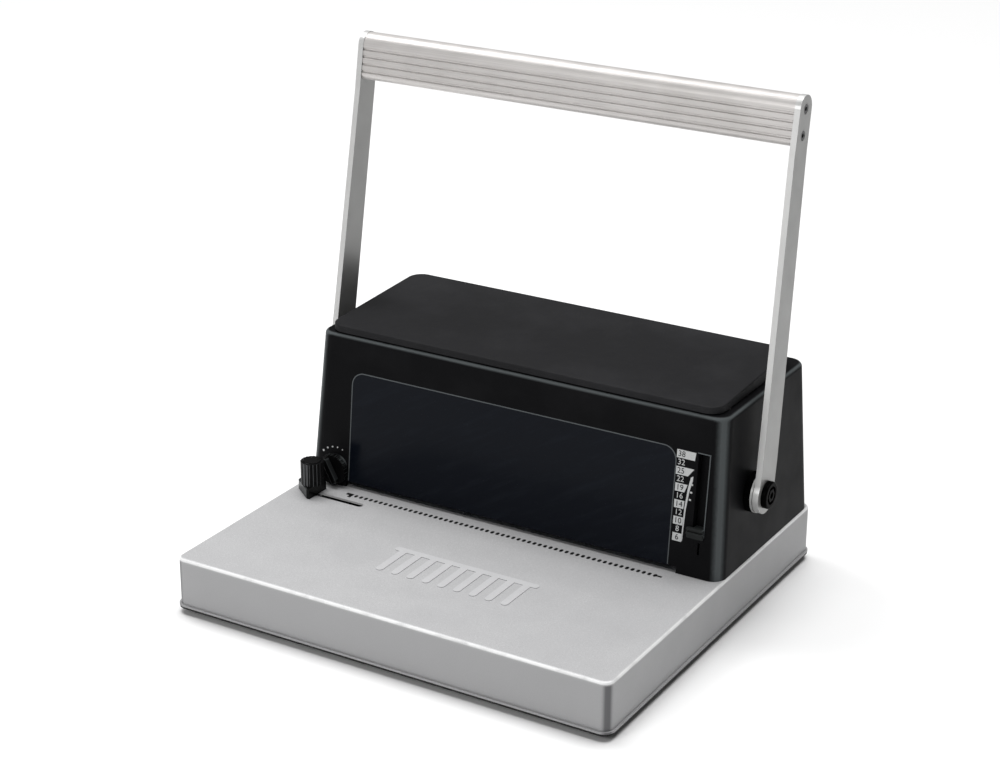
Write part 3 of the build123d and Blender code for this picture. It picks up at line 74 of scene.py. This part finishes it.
def add_panel_light(name, position, target, size, power):
    """A rectangular soft box that faces the target."""
    data = bpy.data.lights.new(name, "AREA")
    data.shape = "RECTANGLE"
    data.size, data.size_y = size
    data.energy = power
    light = bpy.data.objects.new(name, data)
    light.location = position
    light.rotation_euler = (Vector(position) - Vector(target)).to_track_quat("Z", "Y").to_euler()
    scene.collection.objects.link(light)


add_sun("overhead", (0.0, 0.2, 1.0), 2.75, 45)
add_panel_light("upper_left_box", (-1.15, 0.1, 1.9), (0.0, -0.05, 0.05), (0.9, 0.9), 14.0)
add_panel_light("front_box", (-0.35, -1.75, 1.05), (0.0, 0.0, 0.2), (0.9, 0.6), 9.0)

floor_mesh = bpy.data.meshes.new("floor")
floor_mesh.from_pydata([(-12, -12, 0), (12, -12, 0), (12, 12, 0), (-12, 12, 0)], [], [(0, 1, 2, 3)])
floor = bpy.data.objects.new("floor", floor_mesh)
scene.collection.objects.link(floor)

# ---------------------------------------------------------------- materials


class Finish:
    """A Principled material and the procedural textures that feed it."""

    def __init__(self, name, color, roughness, metallic=0.0, specular=0.5):
        self.material = bpy.data.materials.new(name)
        self.material.use_nodes = True
        self.tree = self.material.node_tree
        self.shader = self.tree.nodes["Principled BSDF"]
        self.color = color
        self.shader.inputs["Base Color"].default_value = (*color, 1.0)
        self.shader.inputs["Roughness"].default_value = roughness
        self.shader.inputs["Metallic"].default_value = metallic
        self.shader.inputs["Specular IOR Level"].default_value = specular
        self.roughness = roughness
        self.coordinates = self.tree.nodes.new("ShaderNodeTexCoord").outputs["Object"]
        self.tint = None
        self.height = None

    def link(self, source, target):
        self.tree.links.new(source, target)

    def stretched(self, scale, turn=(0.0, 0.0, 0.0)):
        """Object coordinates turned, then scaled along each axis."""
        turned = self.tree.nodes.new("ShaderNodeMapping")
        turned.inputs["Rotation"].default_value = turn
        self.link(self.coordinates, turned.inputs["Vector"])
        scaled = self.tree.nodes.new("ShaderNodeMapping")
        scaled.inputs["Scale"].default_value = scale
        self.link(turned.outputs["Vector"], scaled.inputs["Vector"])
        return scaled.outputs["Vector"]

    def noise(self, scale, detail=3.0, rough=0.55, vector=None):
        node = self.tree.nodes.new("ShaderNodeTexNoise")
        node.inputs["Scale"].default_value = scale
        node.inputs["Detail"].default_value = detail
        node.inputs["Roughness"].default_value = rough
        self.link(vector or self.coordinates, node.inputs["Vector"])
        return node.outputs["Fac"]

    def cells(self, scale, vector=None):
        node = self.tree.nodes.new("ShaderNodeTexVoronoi")
        node.inputs["Scale"].default_value = scale
        self.link(vector or self.coordinates, node.inputs["Vector"])
        return node

    def remap(self, value, low, high, to_low=0.0, to_high=1.0):
        node = self.tree.nodes.new("ShaderNodeMapRange")
        node.inputs["From Min"].default_value = low
        node.inputs["From Max"].default_value = high
        node.inputs["To Min"].default_value = to_low
        node.inputs["To Max"].default_value = to_high
        self.link(value, node.inputs["Value"])
        return node.outputs["Result"]

    def combine(self, operation, first, second):
        node = self.tree.nodes.new("ShaderNodeMath")
        node.operation = operation
        for socket, value in zip(node.inputs, (first, second)):
            if isinstance(value, (int, float)):
                socket.default_value = value
            else:
                self.link(value, socket)
        return node.outputs["Value"]

    def vary_color(self, value, color, share=1.0):
        """Mixes towards another colour where value is high."""
        mix = self.tree.nodes.new("ShaderNodeMix")
        mix.data_type = "RGBA"
        if self.tint is None:
            mix.inputs["A"].default_value = (*self.color, 1.0)
        else:
            self.link(self.tint, mix.inputs["A"])
        mix.inputs["B"].default_value = (*color, 1.0)
        self.link(self.combine("MULTIPLY", value, share), mix.inputs["Factor"])
        self.tint = mix.outputs["Result"]
        self.link(self.tint, self.shader.inputs["Base Color"])
        return self

    def vary_roughness(self, value, spread):
        low, high = self.roughness - spread, self.roughness + spread
        self.link(self.remap(value, 0.3, 0.7, low, high), self.shader.inputs["Roughness"])
        return self

    def bump(self, value, distance, strength=1.0):
        node = self.tree.nodes.new("ShaderNodeBump")
        node.inputs["Distance"].default_value = distance
        node.inputs["Strength"].default_value = strength
        self.link(value, node.inputs["Height"])
        if self.height is not None:
            self.link(self.height, node.inputs["Normal"])
        self.height = node.outputs["Normal"]
        self.link(self.height, self.shader.inputs["Normal"])
        return self

    def facing(self):
        """How far the surface faces along X, Y and Z, each from 0 to 1."""
        size = self.tree.nodes.new("ShaderNodeVectorMath")
        size.operation = "ABSOLUTE"
        self.link(self.tree.nodes.new("ShaderNodeTexCoord").outputs["Normal"], size.inputs[0])
        split = self.tree.nodes.new("ShaderNodeSeparateXYZ")
        self.link(size.outputs["Vector"], split.inputs["Vector"])
        return split.outputs

    def rounded(self, start, full):
        """1 where the surface faces between the axes, as on a rounded edge, 0 where it faces along one."""
        facing = self.facing()
        largest = self.combine("MAXIMUM", facing["X"], facing["Y"])
        largest = self.combine("MAXIMUM", largest, facing["Z"])
        return self.remap(largest, start, full)

    def near(self, axis, low, high):
        """0 below low and 1 above high along one axis of the object."""
        split = self.tree.nodes.new("ShaderNodeSeparateXYZ")
        self.link(self.coordinates, split.inputs["Vector"])
        return self.remap(split.outputs[axis], low, high)


def moulded_plastic(name, color, roughness, specular, grain, depth):
    """Spark-textured moulded plastic with faint flow marks and dusty smudges."""
    made = Finish(name, color, roughness, 0.0, specular)
    texture = made.cells(grain).outputs["Distance"]
    made.bump(texture, depth, 0.55)
    made.bump(made.noise(90.0, 2.0), depth * 1.5, 0.25)
    smudge = made.remap(made.noise(14.0, 4.0, 0.6), 0.45, 0.75)
    lighter = tuple(min(1.0, c * 1.8 + 0.003) for c in color)
    made.vary_color(smudge, lighter, 0.5)
    made.vary_color(made.remap(made.noise(grain * 1.3, 1.0), 0.55, 0.75), lighter, 0.35)
    made.vary_roughness(made.noise(30.0, 4.0), 0.07)
    return made


def turned_steel(name, color, roughness, stretch, metallic=0.9):
    """Machined metal with fine lines along one direction and an oily mottle."""
    made = Finish(name, color, roughness, metallic, 0.5)
    lines = made.noise(1.0, 4.0, 0.6, made.stretched(stretch))
    made.bump(lines, 0.00002, 0.5)
    made.vary_color(made.remap(lines, 0.35, 0.65), tuple(c * 0.72 for c in color), 0.6)
    mottle = made.remap(made.noise(25.0, 4.0), 0.5, 0.75)
    made.vary_color(mottle, tuple(c * 0.6 for c in color), 0.5)
    made.vary_roughness(made.noise(60.0, 3.0), 0.08)
    return made


# Silver powder coat on the sheet-metal base, with flake and orange peel.  The darker walls, still darker
# corners and lighter top edge are painted to imitate the photo's light and shade.
BASE_TOP = 0.049
silver = Finish("silver_paint", (0.46, 0.46, 0.465), 0.46, 0.12, 0.25)
silver.bump(silver.noise(700.0, 2.0), 0.00007, 0.35)
silver.bump(silver.noise(2600.0, 1.0), 0.00003, 0.3)
silver.vary_color(silver.remap(silver.noise(1500.0, 1.0), 0.5, 0.72), (0.64, 0.64, 0.65), 0.5)
silver.vary_color(silver.remap(silver.noise(1100.0, 1.0), 0.54, 0.75), (0.30, 0.30, 0.31), 0.5)
silver.vary_color(silver.remap(silver.noise(9.0, 4.0, 0.6), 0.45, 0.7), (0.41, 0.41, 0.42), 0.35)
walls = silver.near("Z", BASE_TOP - 0.0020, BASE_TOP - 0.0040)
silver.vary_color(walls, (0.35, 0.35, 0.355), 0.75)
corners = silver.combine("MULTIPLY", walls, silver.rounded(0.99, 0.85))
silver.vary_color(corners, (0.12, 0.12, 0.125), 0.95)
above_walls = silver.near("Z", BASE_TOP - 0.0028, BASE_TOP - 0.0018)
below_plate = silver.near("Z", BASE_TOP - 0.00005, BASE_TOP - 0.0006)
edge = silver.combine("MULTIPLY", above_walls, below_plate)
edge = silver.combine("MULTIPLY", edge, silver.remap(silver.noise(60.0, 4.0), 0.3, 0.5, 0.55, 1.0))
silver.vary_color(edge, (0.98, 0.98, 0.98), 0.85)
# The raised emblem's top is painted lighter: a painted highlight.
emblem = silver.near("Z", BASE_TOP + 0.0002, BASE_TOP + 0.0004)
silver.vary_color(emblem, (0.58, 0.58, 0.59), 0.6)
silver.vary_roughness(silver.noise(40.0, 3.0), 0.05)

black = moulded_plastic("black_plastic", (0.0065, 0.0065, 0.0072), 0.38, 0.025, 1500.0, 0.00005)
# Rounded edges are painted lighter, to imitate the highlights on them in the photo.
black.vary_color(black.rounded(0.97, 0.80), (0.095, 0.105, 0.108), 0.9)
lid_finish = moulded_plastic("lid_plastic", (0.0155, 0.0155, 0.0168), 0.60, 0.10, 1100.0, 0.00007)
control = moulded_plastic("control_plastic", (0.004, 0.004, 0.0042), 0.24, 0.10, 1800.0, 0.00002)
# The dial's and edge guide's rounded edges are painted lighter: a painted highlight.
control.vary_color(control.rounded(0.95, 0.80), (0.050, 0.055, 0.056), 0.8)
knob_finish = moulded_plastic("knob_plastic", (0.004, 0.004, 0.0042), 0.26, 0.08, 1800.0, 0.00002)
# The bright streak on the knob in the photo is imitated by a lighter front and back.
streak = knob_finish.remap(knob_finish.facing()["Y"], 0.93, 0.99)
knob_finish.vary_color(streak, (0.13, 0.135, 0.14), 0.9)
slider_finish = moulded_plastic("slider_plastic", (0.022, 0.024, 0.024), 0.34, 0.08, 1800.0, 0.00002)
# The slider's rounded edges are painted lighter: a painted highlight.
slider_finish.vary_color(slider_finish.rounded(0.98, 0.90), (0.10, 0.11, 0.11), 0.8)
cap_finish = moulded_plastic("cap_plastic", (0.0012, 0.0012, 0.0013), 0.40, 0.015, 1800.0, 0.00002)

# Glossy blue-black front panel: almost smooth, with wiped smears that show in its gloss.
panel = Finish("panel_gloss", (0.004, 0.0055, 0.0095), 0.20, 0.0, 0.07)
panel.bump(panel.noise(260.0, 2.0), 0.00001, 0.3)
smear = panel.noise(1.0, 4.0, 0.6, panel.stretched((22.0, 60.0, 160.0), (0.0, 0.5, 0.0)))
panel.vary_color(panel.remap(smear, 0.5, 0.8), (0.010, 0.013, 0.019), 0.6)
panel.vary_color(panel.remap(panel.noise(900.0, 2.0), 0.68, 0.74), (0.05, 0.055, 0.06), 0.25)
panel.vary_roughness(smear, 0.07)

# Satin aluminium arms, brushed along their length, which leans back from the pivot.
ARM_LEAN = math.atan2(49.0, 301.8)
arm = Finish("arm_aluminium", (0.30, 0.30, 0.295), 0.36, 0.45, 0.5)
brushed = arm.noise(1.0, 4.0, 0.6, arm.stretched((1400.0, 1400.0, 14.0), (ARM_LEAN, 0.0, 0.0)))
arm.bump(brushed, 0.00002, 0.4)
arm.vary_color(arm.remap(brushed, 0.35, 0.65), (0.30, 0.30, 0.295), 0.6)
arm.vary_color(arm.remap(arm.noise(18.0, 4.0), 0.48, 0.75), (0.27, 0.27, 0.27), 0.45)
# Surfaces that don't face along X, the bars' edges, are painted brighter than the faces: a painted
# highlight.
arm.vary_color(arm.remap(arm.facing()["X"], 0.8, 0.3), (0.82, 0.82, 0.81), 0.75)
arm.vary_roughness(arm.noise(50.0, 3.0), 0.06)

# Anodised grip extrusion with drawn lines along X.
grip = Finish("grip_aluminium", (0.68, 0.655, 0.64), 0.38, 0.35, 0.5)
drawn = grip.noise(1.0, 4.0, 0.6, grip.stretched((6.0, 1500.0, 1500.0)))
grip.bump(drawn, 0.00002, 0.45)
grip.vary_color(grip.remap(drawn, 0.35, 0.65), (0.52, 0.50, 0.485), 0.6)
grip.vary_color(grip.remap(grip.noise(16.0, 4.0), 0.5, 0.75), (0.48, 0.46, 0.44), 0.35)
grip.vary_roughness(grip.noise(45.0, 3.0), 0.06)

rubber = Finish("rubber", (0.018, 0.018, 0.018), 0.82, 0.0, 0.3)
rubber.bump(rubber.noise(1300.0, 3.0), 0.00008, 0.6)
rubber.vary_color(rubber.remap(rubber.noise(220.0, 4.0), 0.45, 0.7), (0.06, 0.058, 0.055), 0.6)

ground_steel = turned_steel("tool_steel", (0.36, 0.37, 0.39), 0.34, (30.0, 1600.0, 1600.0))
shaft_steel = turned_steel("shaft_steel", (0.46, 0.46, 0.47), 0.28, (1800.0, 40.0, 40.0))
screw_steel = turned_steel("screw_steel", (0.55, 0.55, 0.56), 0.26, (1400.0, 1400.0, 60.0))
bronze = turned_steel("bronze", (0.48, 0.31, 0.13), 0.45, (900.0, 900.0, 900.0), 0.8)

dark_sheet = Finish("dark_sheet", (0.012, 0.012, 0.012), 0.55, 0.0, 0.2)
dark_sheet.bump(dark_sheet.noise(900.0, 2.0), 0.00004, 0.4)
dusty = dark_sheet.remap(dark_sheet.noise(70.0, 4.0), 0.5, 0.75)
dark_sheet.vary_color(dusty, (0.035, 0.034, 0.033), 0.6)
dark_sheet.vary_roughness(dark_sheet.noise(120.0, 3.0), 0.08)

oxide = turned_steel("dark_screw", (0.020, 0.020, 0.021), 0.30, (1400.0, 1400.0, 60.0), 0.3)

# Zinc-plated sheet with a faint spangle.
zinc = Finish("sheet_steel", (0.44, 0.45, 0.46), 0.42, 0.75, 0.5)
spangle = zinc.cells(160.0)
zinc.vary_color(zinc.remap(spangle.outputs["Distance"], 0.1, 0.7), (0.36, 0.37, 0.39), 0.8)
zinc.vary_color(zinc.remap(zinc.noise(30.0, 4.0), 0.5, 0.75), (0.31, 0.31, 0.32), 0.5)
zinc.bump(zinc.noise(500.0, 2.0), 0.00003, 0.4)
zinc.vary_roughness(zinc.noise(80.0, 3.0), 0.09)


def ink_and_highlight_finish(name, color, worn):
    """Screen-printed ink whose cover thins a little in places; also serves the grey painted highlight
    lines.
    """
    made = Finish(name, color, 0.55, 0.0, 0.15)
    made.vary_color(made.remap(made.noise(1700.0, 2.0), 0.56, 0.74), worn, 0.6)
    made.bump(made.noise(2400.0, 1.0), 0.00002, 0.4)
    return made


white_ink = ink_and_highlight_finish("white_ink", (0.62, 0.63, 0.63), (0.30, 0.31, 0.31))
# Grey lines painted as highlights along the front panel's edge and the gauge's lip.
highlight_line_grey = ink_and_highlight_finish("highlight_line_grey", (0.10, 0.11, 0.115), (0.05, 0.055, 0.06))
dark_ink = ink_and_highlight_finish("dark_ink", (0.003, 0.003, 0.003), (0.012, 0.012, 0.012))

floor_finish = Finish("floor_finish", (0.93, 0.93, 0.93), 0.9, 0.0, 0.1)
floor_finish.vary_color(floor_finish.noise(1.5, 2.0), (0.91, 0.91, 0.91), 0.5)
floor_mesh.materials.append(floor_finish.material)

NODE_FINISHES = (
    (silver, ("base_tray",)),
    (dark_sheet, ("base_bottom_plate",)),
    (zinc, ("tray_runners", "side_frame_left", "side_frame_right", "comb_deck")),
    (zinc, ("slide_rails", "dial_bracket")),
    (ground_steel, ("die_plate", "punch_guide", "punch_plate", "hook_plate")),
    (ground_steel, ("comb_fingers", "depth_stop", "drive_cams", "stop_collars")),
    (shaft_steel, ("pivot_shaft", "tie_rods", "stop_pins", "dial_shaft")),
    (screw_steel, ("base_screws", "guide_screws", "post_nuts", "frame_screws", "rod_screws")),
    (screw_steel, ("housing_screws", "deck_screws", "hinge_pins", "guide_clamp_nut")),
    (oxide, ("grip_screws", "guide_spacers")),
    (screw_steel, ("return_springs", "guide_posts", "punch_pins")),
    (bronze, ("shaft_bushes",)),
    (black, ("housing", "waste_tray", "gauge_channel", "opener_tab")),
    (slider_finish, ("gauge_slider",)),
    (knob_finish, ("guide_knob",)),
    (lid_finish, ("lid",)),
    (panel, ("front_panel",)),
    (control, ("margin_dial", "edge_guide")),
    (cap_finish, ("pivot_cap_left", "pivot_cap_right", "pivot_boss_left", "pivot_boss_right")),
    (arm, ("handle_arm_left", "handle_arm_right", "pivot_washers")),
    (grip, ("handle_grip",)),
    (rubber, ("feet", "lid_bumpers")),
)
for finish, names in NODE_FINISHES:
    for name in names:
        nodes[name].data.materials.clear()
        nodes[name].data.materials.append(finish.material)

# ---------------------------------------------------------------- printed marks and painted highlight lines
FACE_TILT = math.atan2(14.0, 133.0)
FACE_ORIGIN = Vector((0.0, 3.25, 49.0)) * MM
FACE_UP = Vector((0.0, math.sin(FACE_TILT), math.cos(FACE_TILT)))
FACE_OUT = Vector((0.0, -math.cos(FACE_TILT), math.sin(FACE_TILT)))
PLATE_TOP = 49.0
INK = 0.12
SUNK = 0.05


def on_face(x, y, out):
    """A point on the housing's inclined front face: x across, y up the face, out of it, all in mm."""
    return FACE_ORIGIN + Vector((x * MM, 0.0, 0.0)) + FACE_UP * (y * MM) + FACE_OUT * (out * MM)


def on_plate(x, y, out):
    """A point on the base's top, in mm."""
    return Vector((x, y, PLATE_TOP + out)) * MM


def add_piece(name, shape, finish, body):
    """Makes an object of a finished bmesh, gives it its finish and lets it ride on a body."""
    bmesh.ops.recalc_face_normals(shape, faces=shape.faces)
    mesh = bpy.data.meshes.new(name)
    shape.to_mesh(mesh)
    shape.free()
    mesh.materials.append(finish.material)
    piece = bpy.data.objects.new(name, mesh)
    scene.collection.objects.link(piece)
    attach(piece, body)
    return piece


def add_outline(shape, outline, put, low, high):
    """A closed prism from a 2-D outline; put(x, y, out) places its points."""
    lower = [shape.verts.new(put(x, y, low)) for x, y in outline]
    upper = [shape.verts.new(put(x, y, high)) for x, y in outline]
    count = len(outline)
    for i in range(count):
        j = (i + 1) % count
        shape.faces.new((lower[i], lower[j], upper[j], upper[i]))
    shape.faces.new(upper)
    shape.faces.new(list(reversed(lower)))


def disc(x, y, radius, steps=14):
    return [
        (x + radius * math.cos(2 * math.pi * i / steps), y + radius * math.sin(2 * math.pi * i / steps))
        for i in range(steps)
    ]


def mark(x, y, width, length, steps=6):
    """Outline of a short upright mark with round ends."""
    radius = width / 2
    points = []
    for end, start in ((1, 0.0), (-1, math.pi)):
        for i in range(steps + 1):
            turn = start + math.pi * i / steps
            points.append(
                (x + radius * math.cos(turn), y + end * (length / 2 - radius) + radius * math.sin(turn))
            )
    return points


def bar(x_low, y_low, x_high, y_high):
    return [(x_low, y_low), (x_high, y_low), (x_high, y_high), (x_low, y_high)]


# Rule on the plate before the paper throat: a start flag, marks 5 mm apart, and an end dash.
RULE_Y = -8.7
RULE_STEP = 5.0
RULE_MARKS = 59
rule = bmesh.new()
first_x = -143.9
for i in range(1, RULE_MARKS):
    add_outline(rule, mark(first_x + i * RULE_STEP, RULE_Y, 2.8, 4.7), on_plate, -SUNK, INK)
flag = [(-5.0, -0.9), (-5.0, 2.4), (1.6, 2.4), (1.6, -4.6), (-1.4, -4.6), (-1.4, -0.9)]
flag = [(first_x + x, RULE_Y + y) for x, y in flag]
add_outline(rule, flag, on_plate, -SUNK, INK)
last_x = first_x + (RULE_MARKS - 1) * RULE_STEP
add_outline(rule, bar(last_x + 1.4, RULE_Y - 1.1, last_x + 6.0, RULE_Y + 1.1), on_plate, -SUNK, INK)
add_piece("plate_rule", rule, dark_ink, "base")

# Light line just inside the front panel's edge, open at the paper throat: a painted highlight along the
# edge.
PANEL_LEFT = -156.0
PANEL_RIGHT = 151.0
PANEL_HEIGHT = 104.0
PANEL_CORNER = 12.0
PANEL_FOOT = 5.9
CORNER_STEPS = 12


def panel_path(inset):
    """The panel's edge from its lower left, round its top corners, to its lower right."""
    radius = PANEL_CORNER - inset
    centre_y = PANEL_HEIGHT - PANEL_CORNER
    points = [(PANEL_LEFT + inset, PANEL_FOOT)]
    for centre_x, start in ((PANEL_LEFT + PANEL_CORNER, 180), (PANEL_RIGHT - PANEL_CORNER, 90)):
        for i in range(CORNER_STEPS + 1):
            turn = math.radians(start - 90 * i / CORNER_STEPS)
            points.append((centre_x + radius * math.cos(turn), centre_y + radius * math.sin(turn)))
    points.append((PANEL_RIGHT - inset, PANEL_FOOT))
    return points


def add_ribbon(shape, outer, inner, put, low, high):
    """A closed strip between two paths with the same number of points."""
    rows = [
        [shape.verts.new(put(x, y, level)) for x, y in path]
        for path, level in ((outer, low), (outer, high), (inner, high), (inner, low))
    ]
    for i in range(len(outer) - 1):
        for a, b in ((0, 1), (1, 2), (2, 3), (3, 0)):
            shape.faces.new((rows[a][i], rows[b][i], rows[b][i + 1], rows[a][i + 1]))
    shape.faces.new([row[0] for row in rows])
    shape.faces.new([row[-1] for row in reversed(rows)])


outline = bmesh.new()
add_ribbon(outline, panel_path(0.2), panel_path(1.15), on_face, -SUNK, INK)
add_piece("panel_outline", outline, highlight_line_grey, "base")

# Light strip on the lip of the gauge's channel, along its top and its right side.  It imitates a highlight.
GAUGE_LEFT = 168.6
GAUGE_LOW = 34.8
GAUGE_RIGHT = 180.2
GAUGE_TOP = 103.6
GAUGE_LIP = 0.4
lip_line = bmesh.new()
for line in (
    bar(GAUGE_RIGHT - 1.1, GAUGE_LOW, GAUGE_RIGHT - 0.2, GAUGE_TOP - 0.2),
    bar(GAUGE_LEFT, GAUGE_TOP - 1.1, GAUGE_RIGHT - 1.1, GAUGE_TOP - 0.2),
):
    add_outline(lip_line, line, on_face, GAUGE_LIP - SUNK, GAUGE_LIP + INK)
add_piece("gauge_lip_line", lip_line, highlight_line_grey, "base")

# Comb size scale beside the gauge: white tiles with sizes, and a wedge that grows with the size.
TILE_HEIGHT = 6.7
TILE_STEP = 13.72
TILE_LOW = 27.0
TILE_LEFT = 152.5
TILE_LEAN = 0.38
NUMBER_SIZE = 6.6
TILE_RIGHTS = (160.7, 160.6, 160.5, 162.0, 166.5, 167.0)
TILE_SLANTS = (0.2, 0.3, 0.5, 2.4, 4.9, 0.6)
scale = bmesh.new()
for i, (tile_right, slant) in enumerate(zip(TILE_RIGHTS, TILE_SLANTS)):
    low = TILE_LOW + i * TILE_STEP
    high = low + TILE_HEIGHT
    left = TILE_LEFT - TILE_LEAN * i
    corners = [(left, low), (tile_right - slant, low), (tile_right, high), (left, high)]
    add_outline(scale, corners, on_face, -SUNK, INK)
wedge = [(160.3, 28.0), (161.2, 28.0), (162.2, 55.0), (164.0, 70.0), (166.2, 79.5), (166.2, 82.8)]
wedge += [(164.2, 81.5), (162.4, 72.0), (160.9, 56.0)]
add_outline(scale, wedge, on_face, -SUNK, INK)
for x, y in ((164.6, 75.8), (164.4, 69.4), (163.9, 63.2)):
    add_outline(scale, bar(x + 0.2, y - 0.7, x + 2.0, y + 0.7), on_face, -SUNK, INK)
DIAL_X = -169.0
DIAL_Y = 15.1
DOT_RING = 18.2
for i in range(5):
    angle = math.radians(70 + 16.5 * i)
    x = DIAL_X + DOT_RING * math.cos(angle)
    y = DIAL_Y + DOT_RING * math.sin(angle)
    add_outline(scale, disc(x, y, 0.6 + 0.1 * i, 10), on_face, -SUNK, INK)
add_piece("printed_scale", scale, white_ink, "base")


def add_number(shape, value, x, y, size, low, high):
    """A number centred on (x, y) of the front face, as a closed raised shape."""
    curve = bpy.data.curves.new("number", "FONT")
    curve.body = value
    curve.size = size * MM
    curve.align_x = "CENTER"
    curve.align_y = "CENTER"
    curve.extrude = (high - low) / 2 * MM
    curve.resolution_u = 3
    source = bpy.data.objects.new("number", curve)
    mesh = bpy.data.meshes.new_from_object(source)
    start = len(shape.verts)
    shape.from_mesh(mesh)
    shape.verts.ensure_lookup_table()
    middle = (low + high) / 2
    for vertex in shape.verts[start:]:
        px, py, pz = vertex.co
        vertex.co = on_face(x + px / MM, y + py / MM, middle + pz / MM)
    bpy.data.objects.remove(source)
    bpy.data.meshes.remove(mesh)
    bpy.data.curves.remove(curve)


dark_numbers = bmesh.new()
for i, value in enumerate(("6", "10", "14", "19", "25", "38")):
    y = TILE_LOW + i * TILE_STEP + 3.3
    add_number(dark_numbers, value, 156.4 - 0.3 * i, y, NUMBER_SIZE, 0.0, INK + 0.1)
add_piece("dark_numbers", dark_numbers, dark_ink, "base")

light_numbers = bmesh.new()
for i, value in enumerate(("8", "12", "16", "22", "32")):
    y = TILE_LOW + i * TILE_STEP + 10.2
    add_number(light_numbers, value, 156.2 - 0.3 * i, y, NUMBER_SIZE, -SUNK, INK)
add_piece("light_numbers", light_numbers, white_ink, "base")
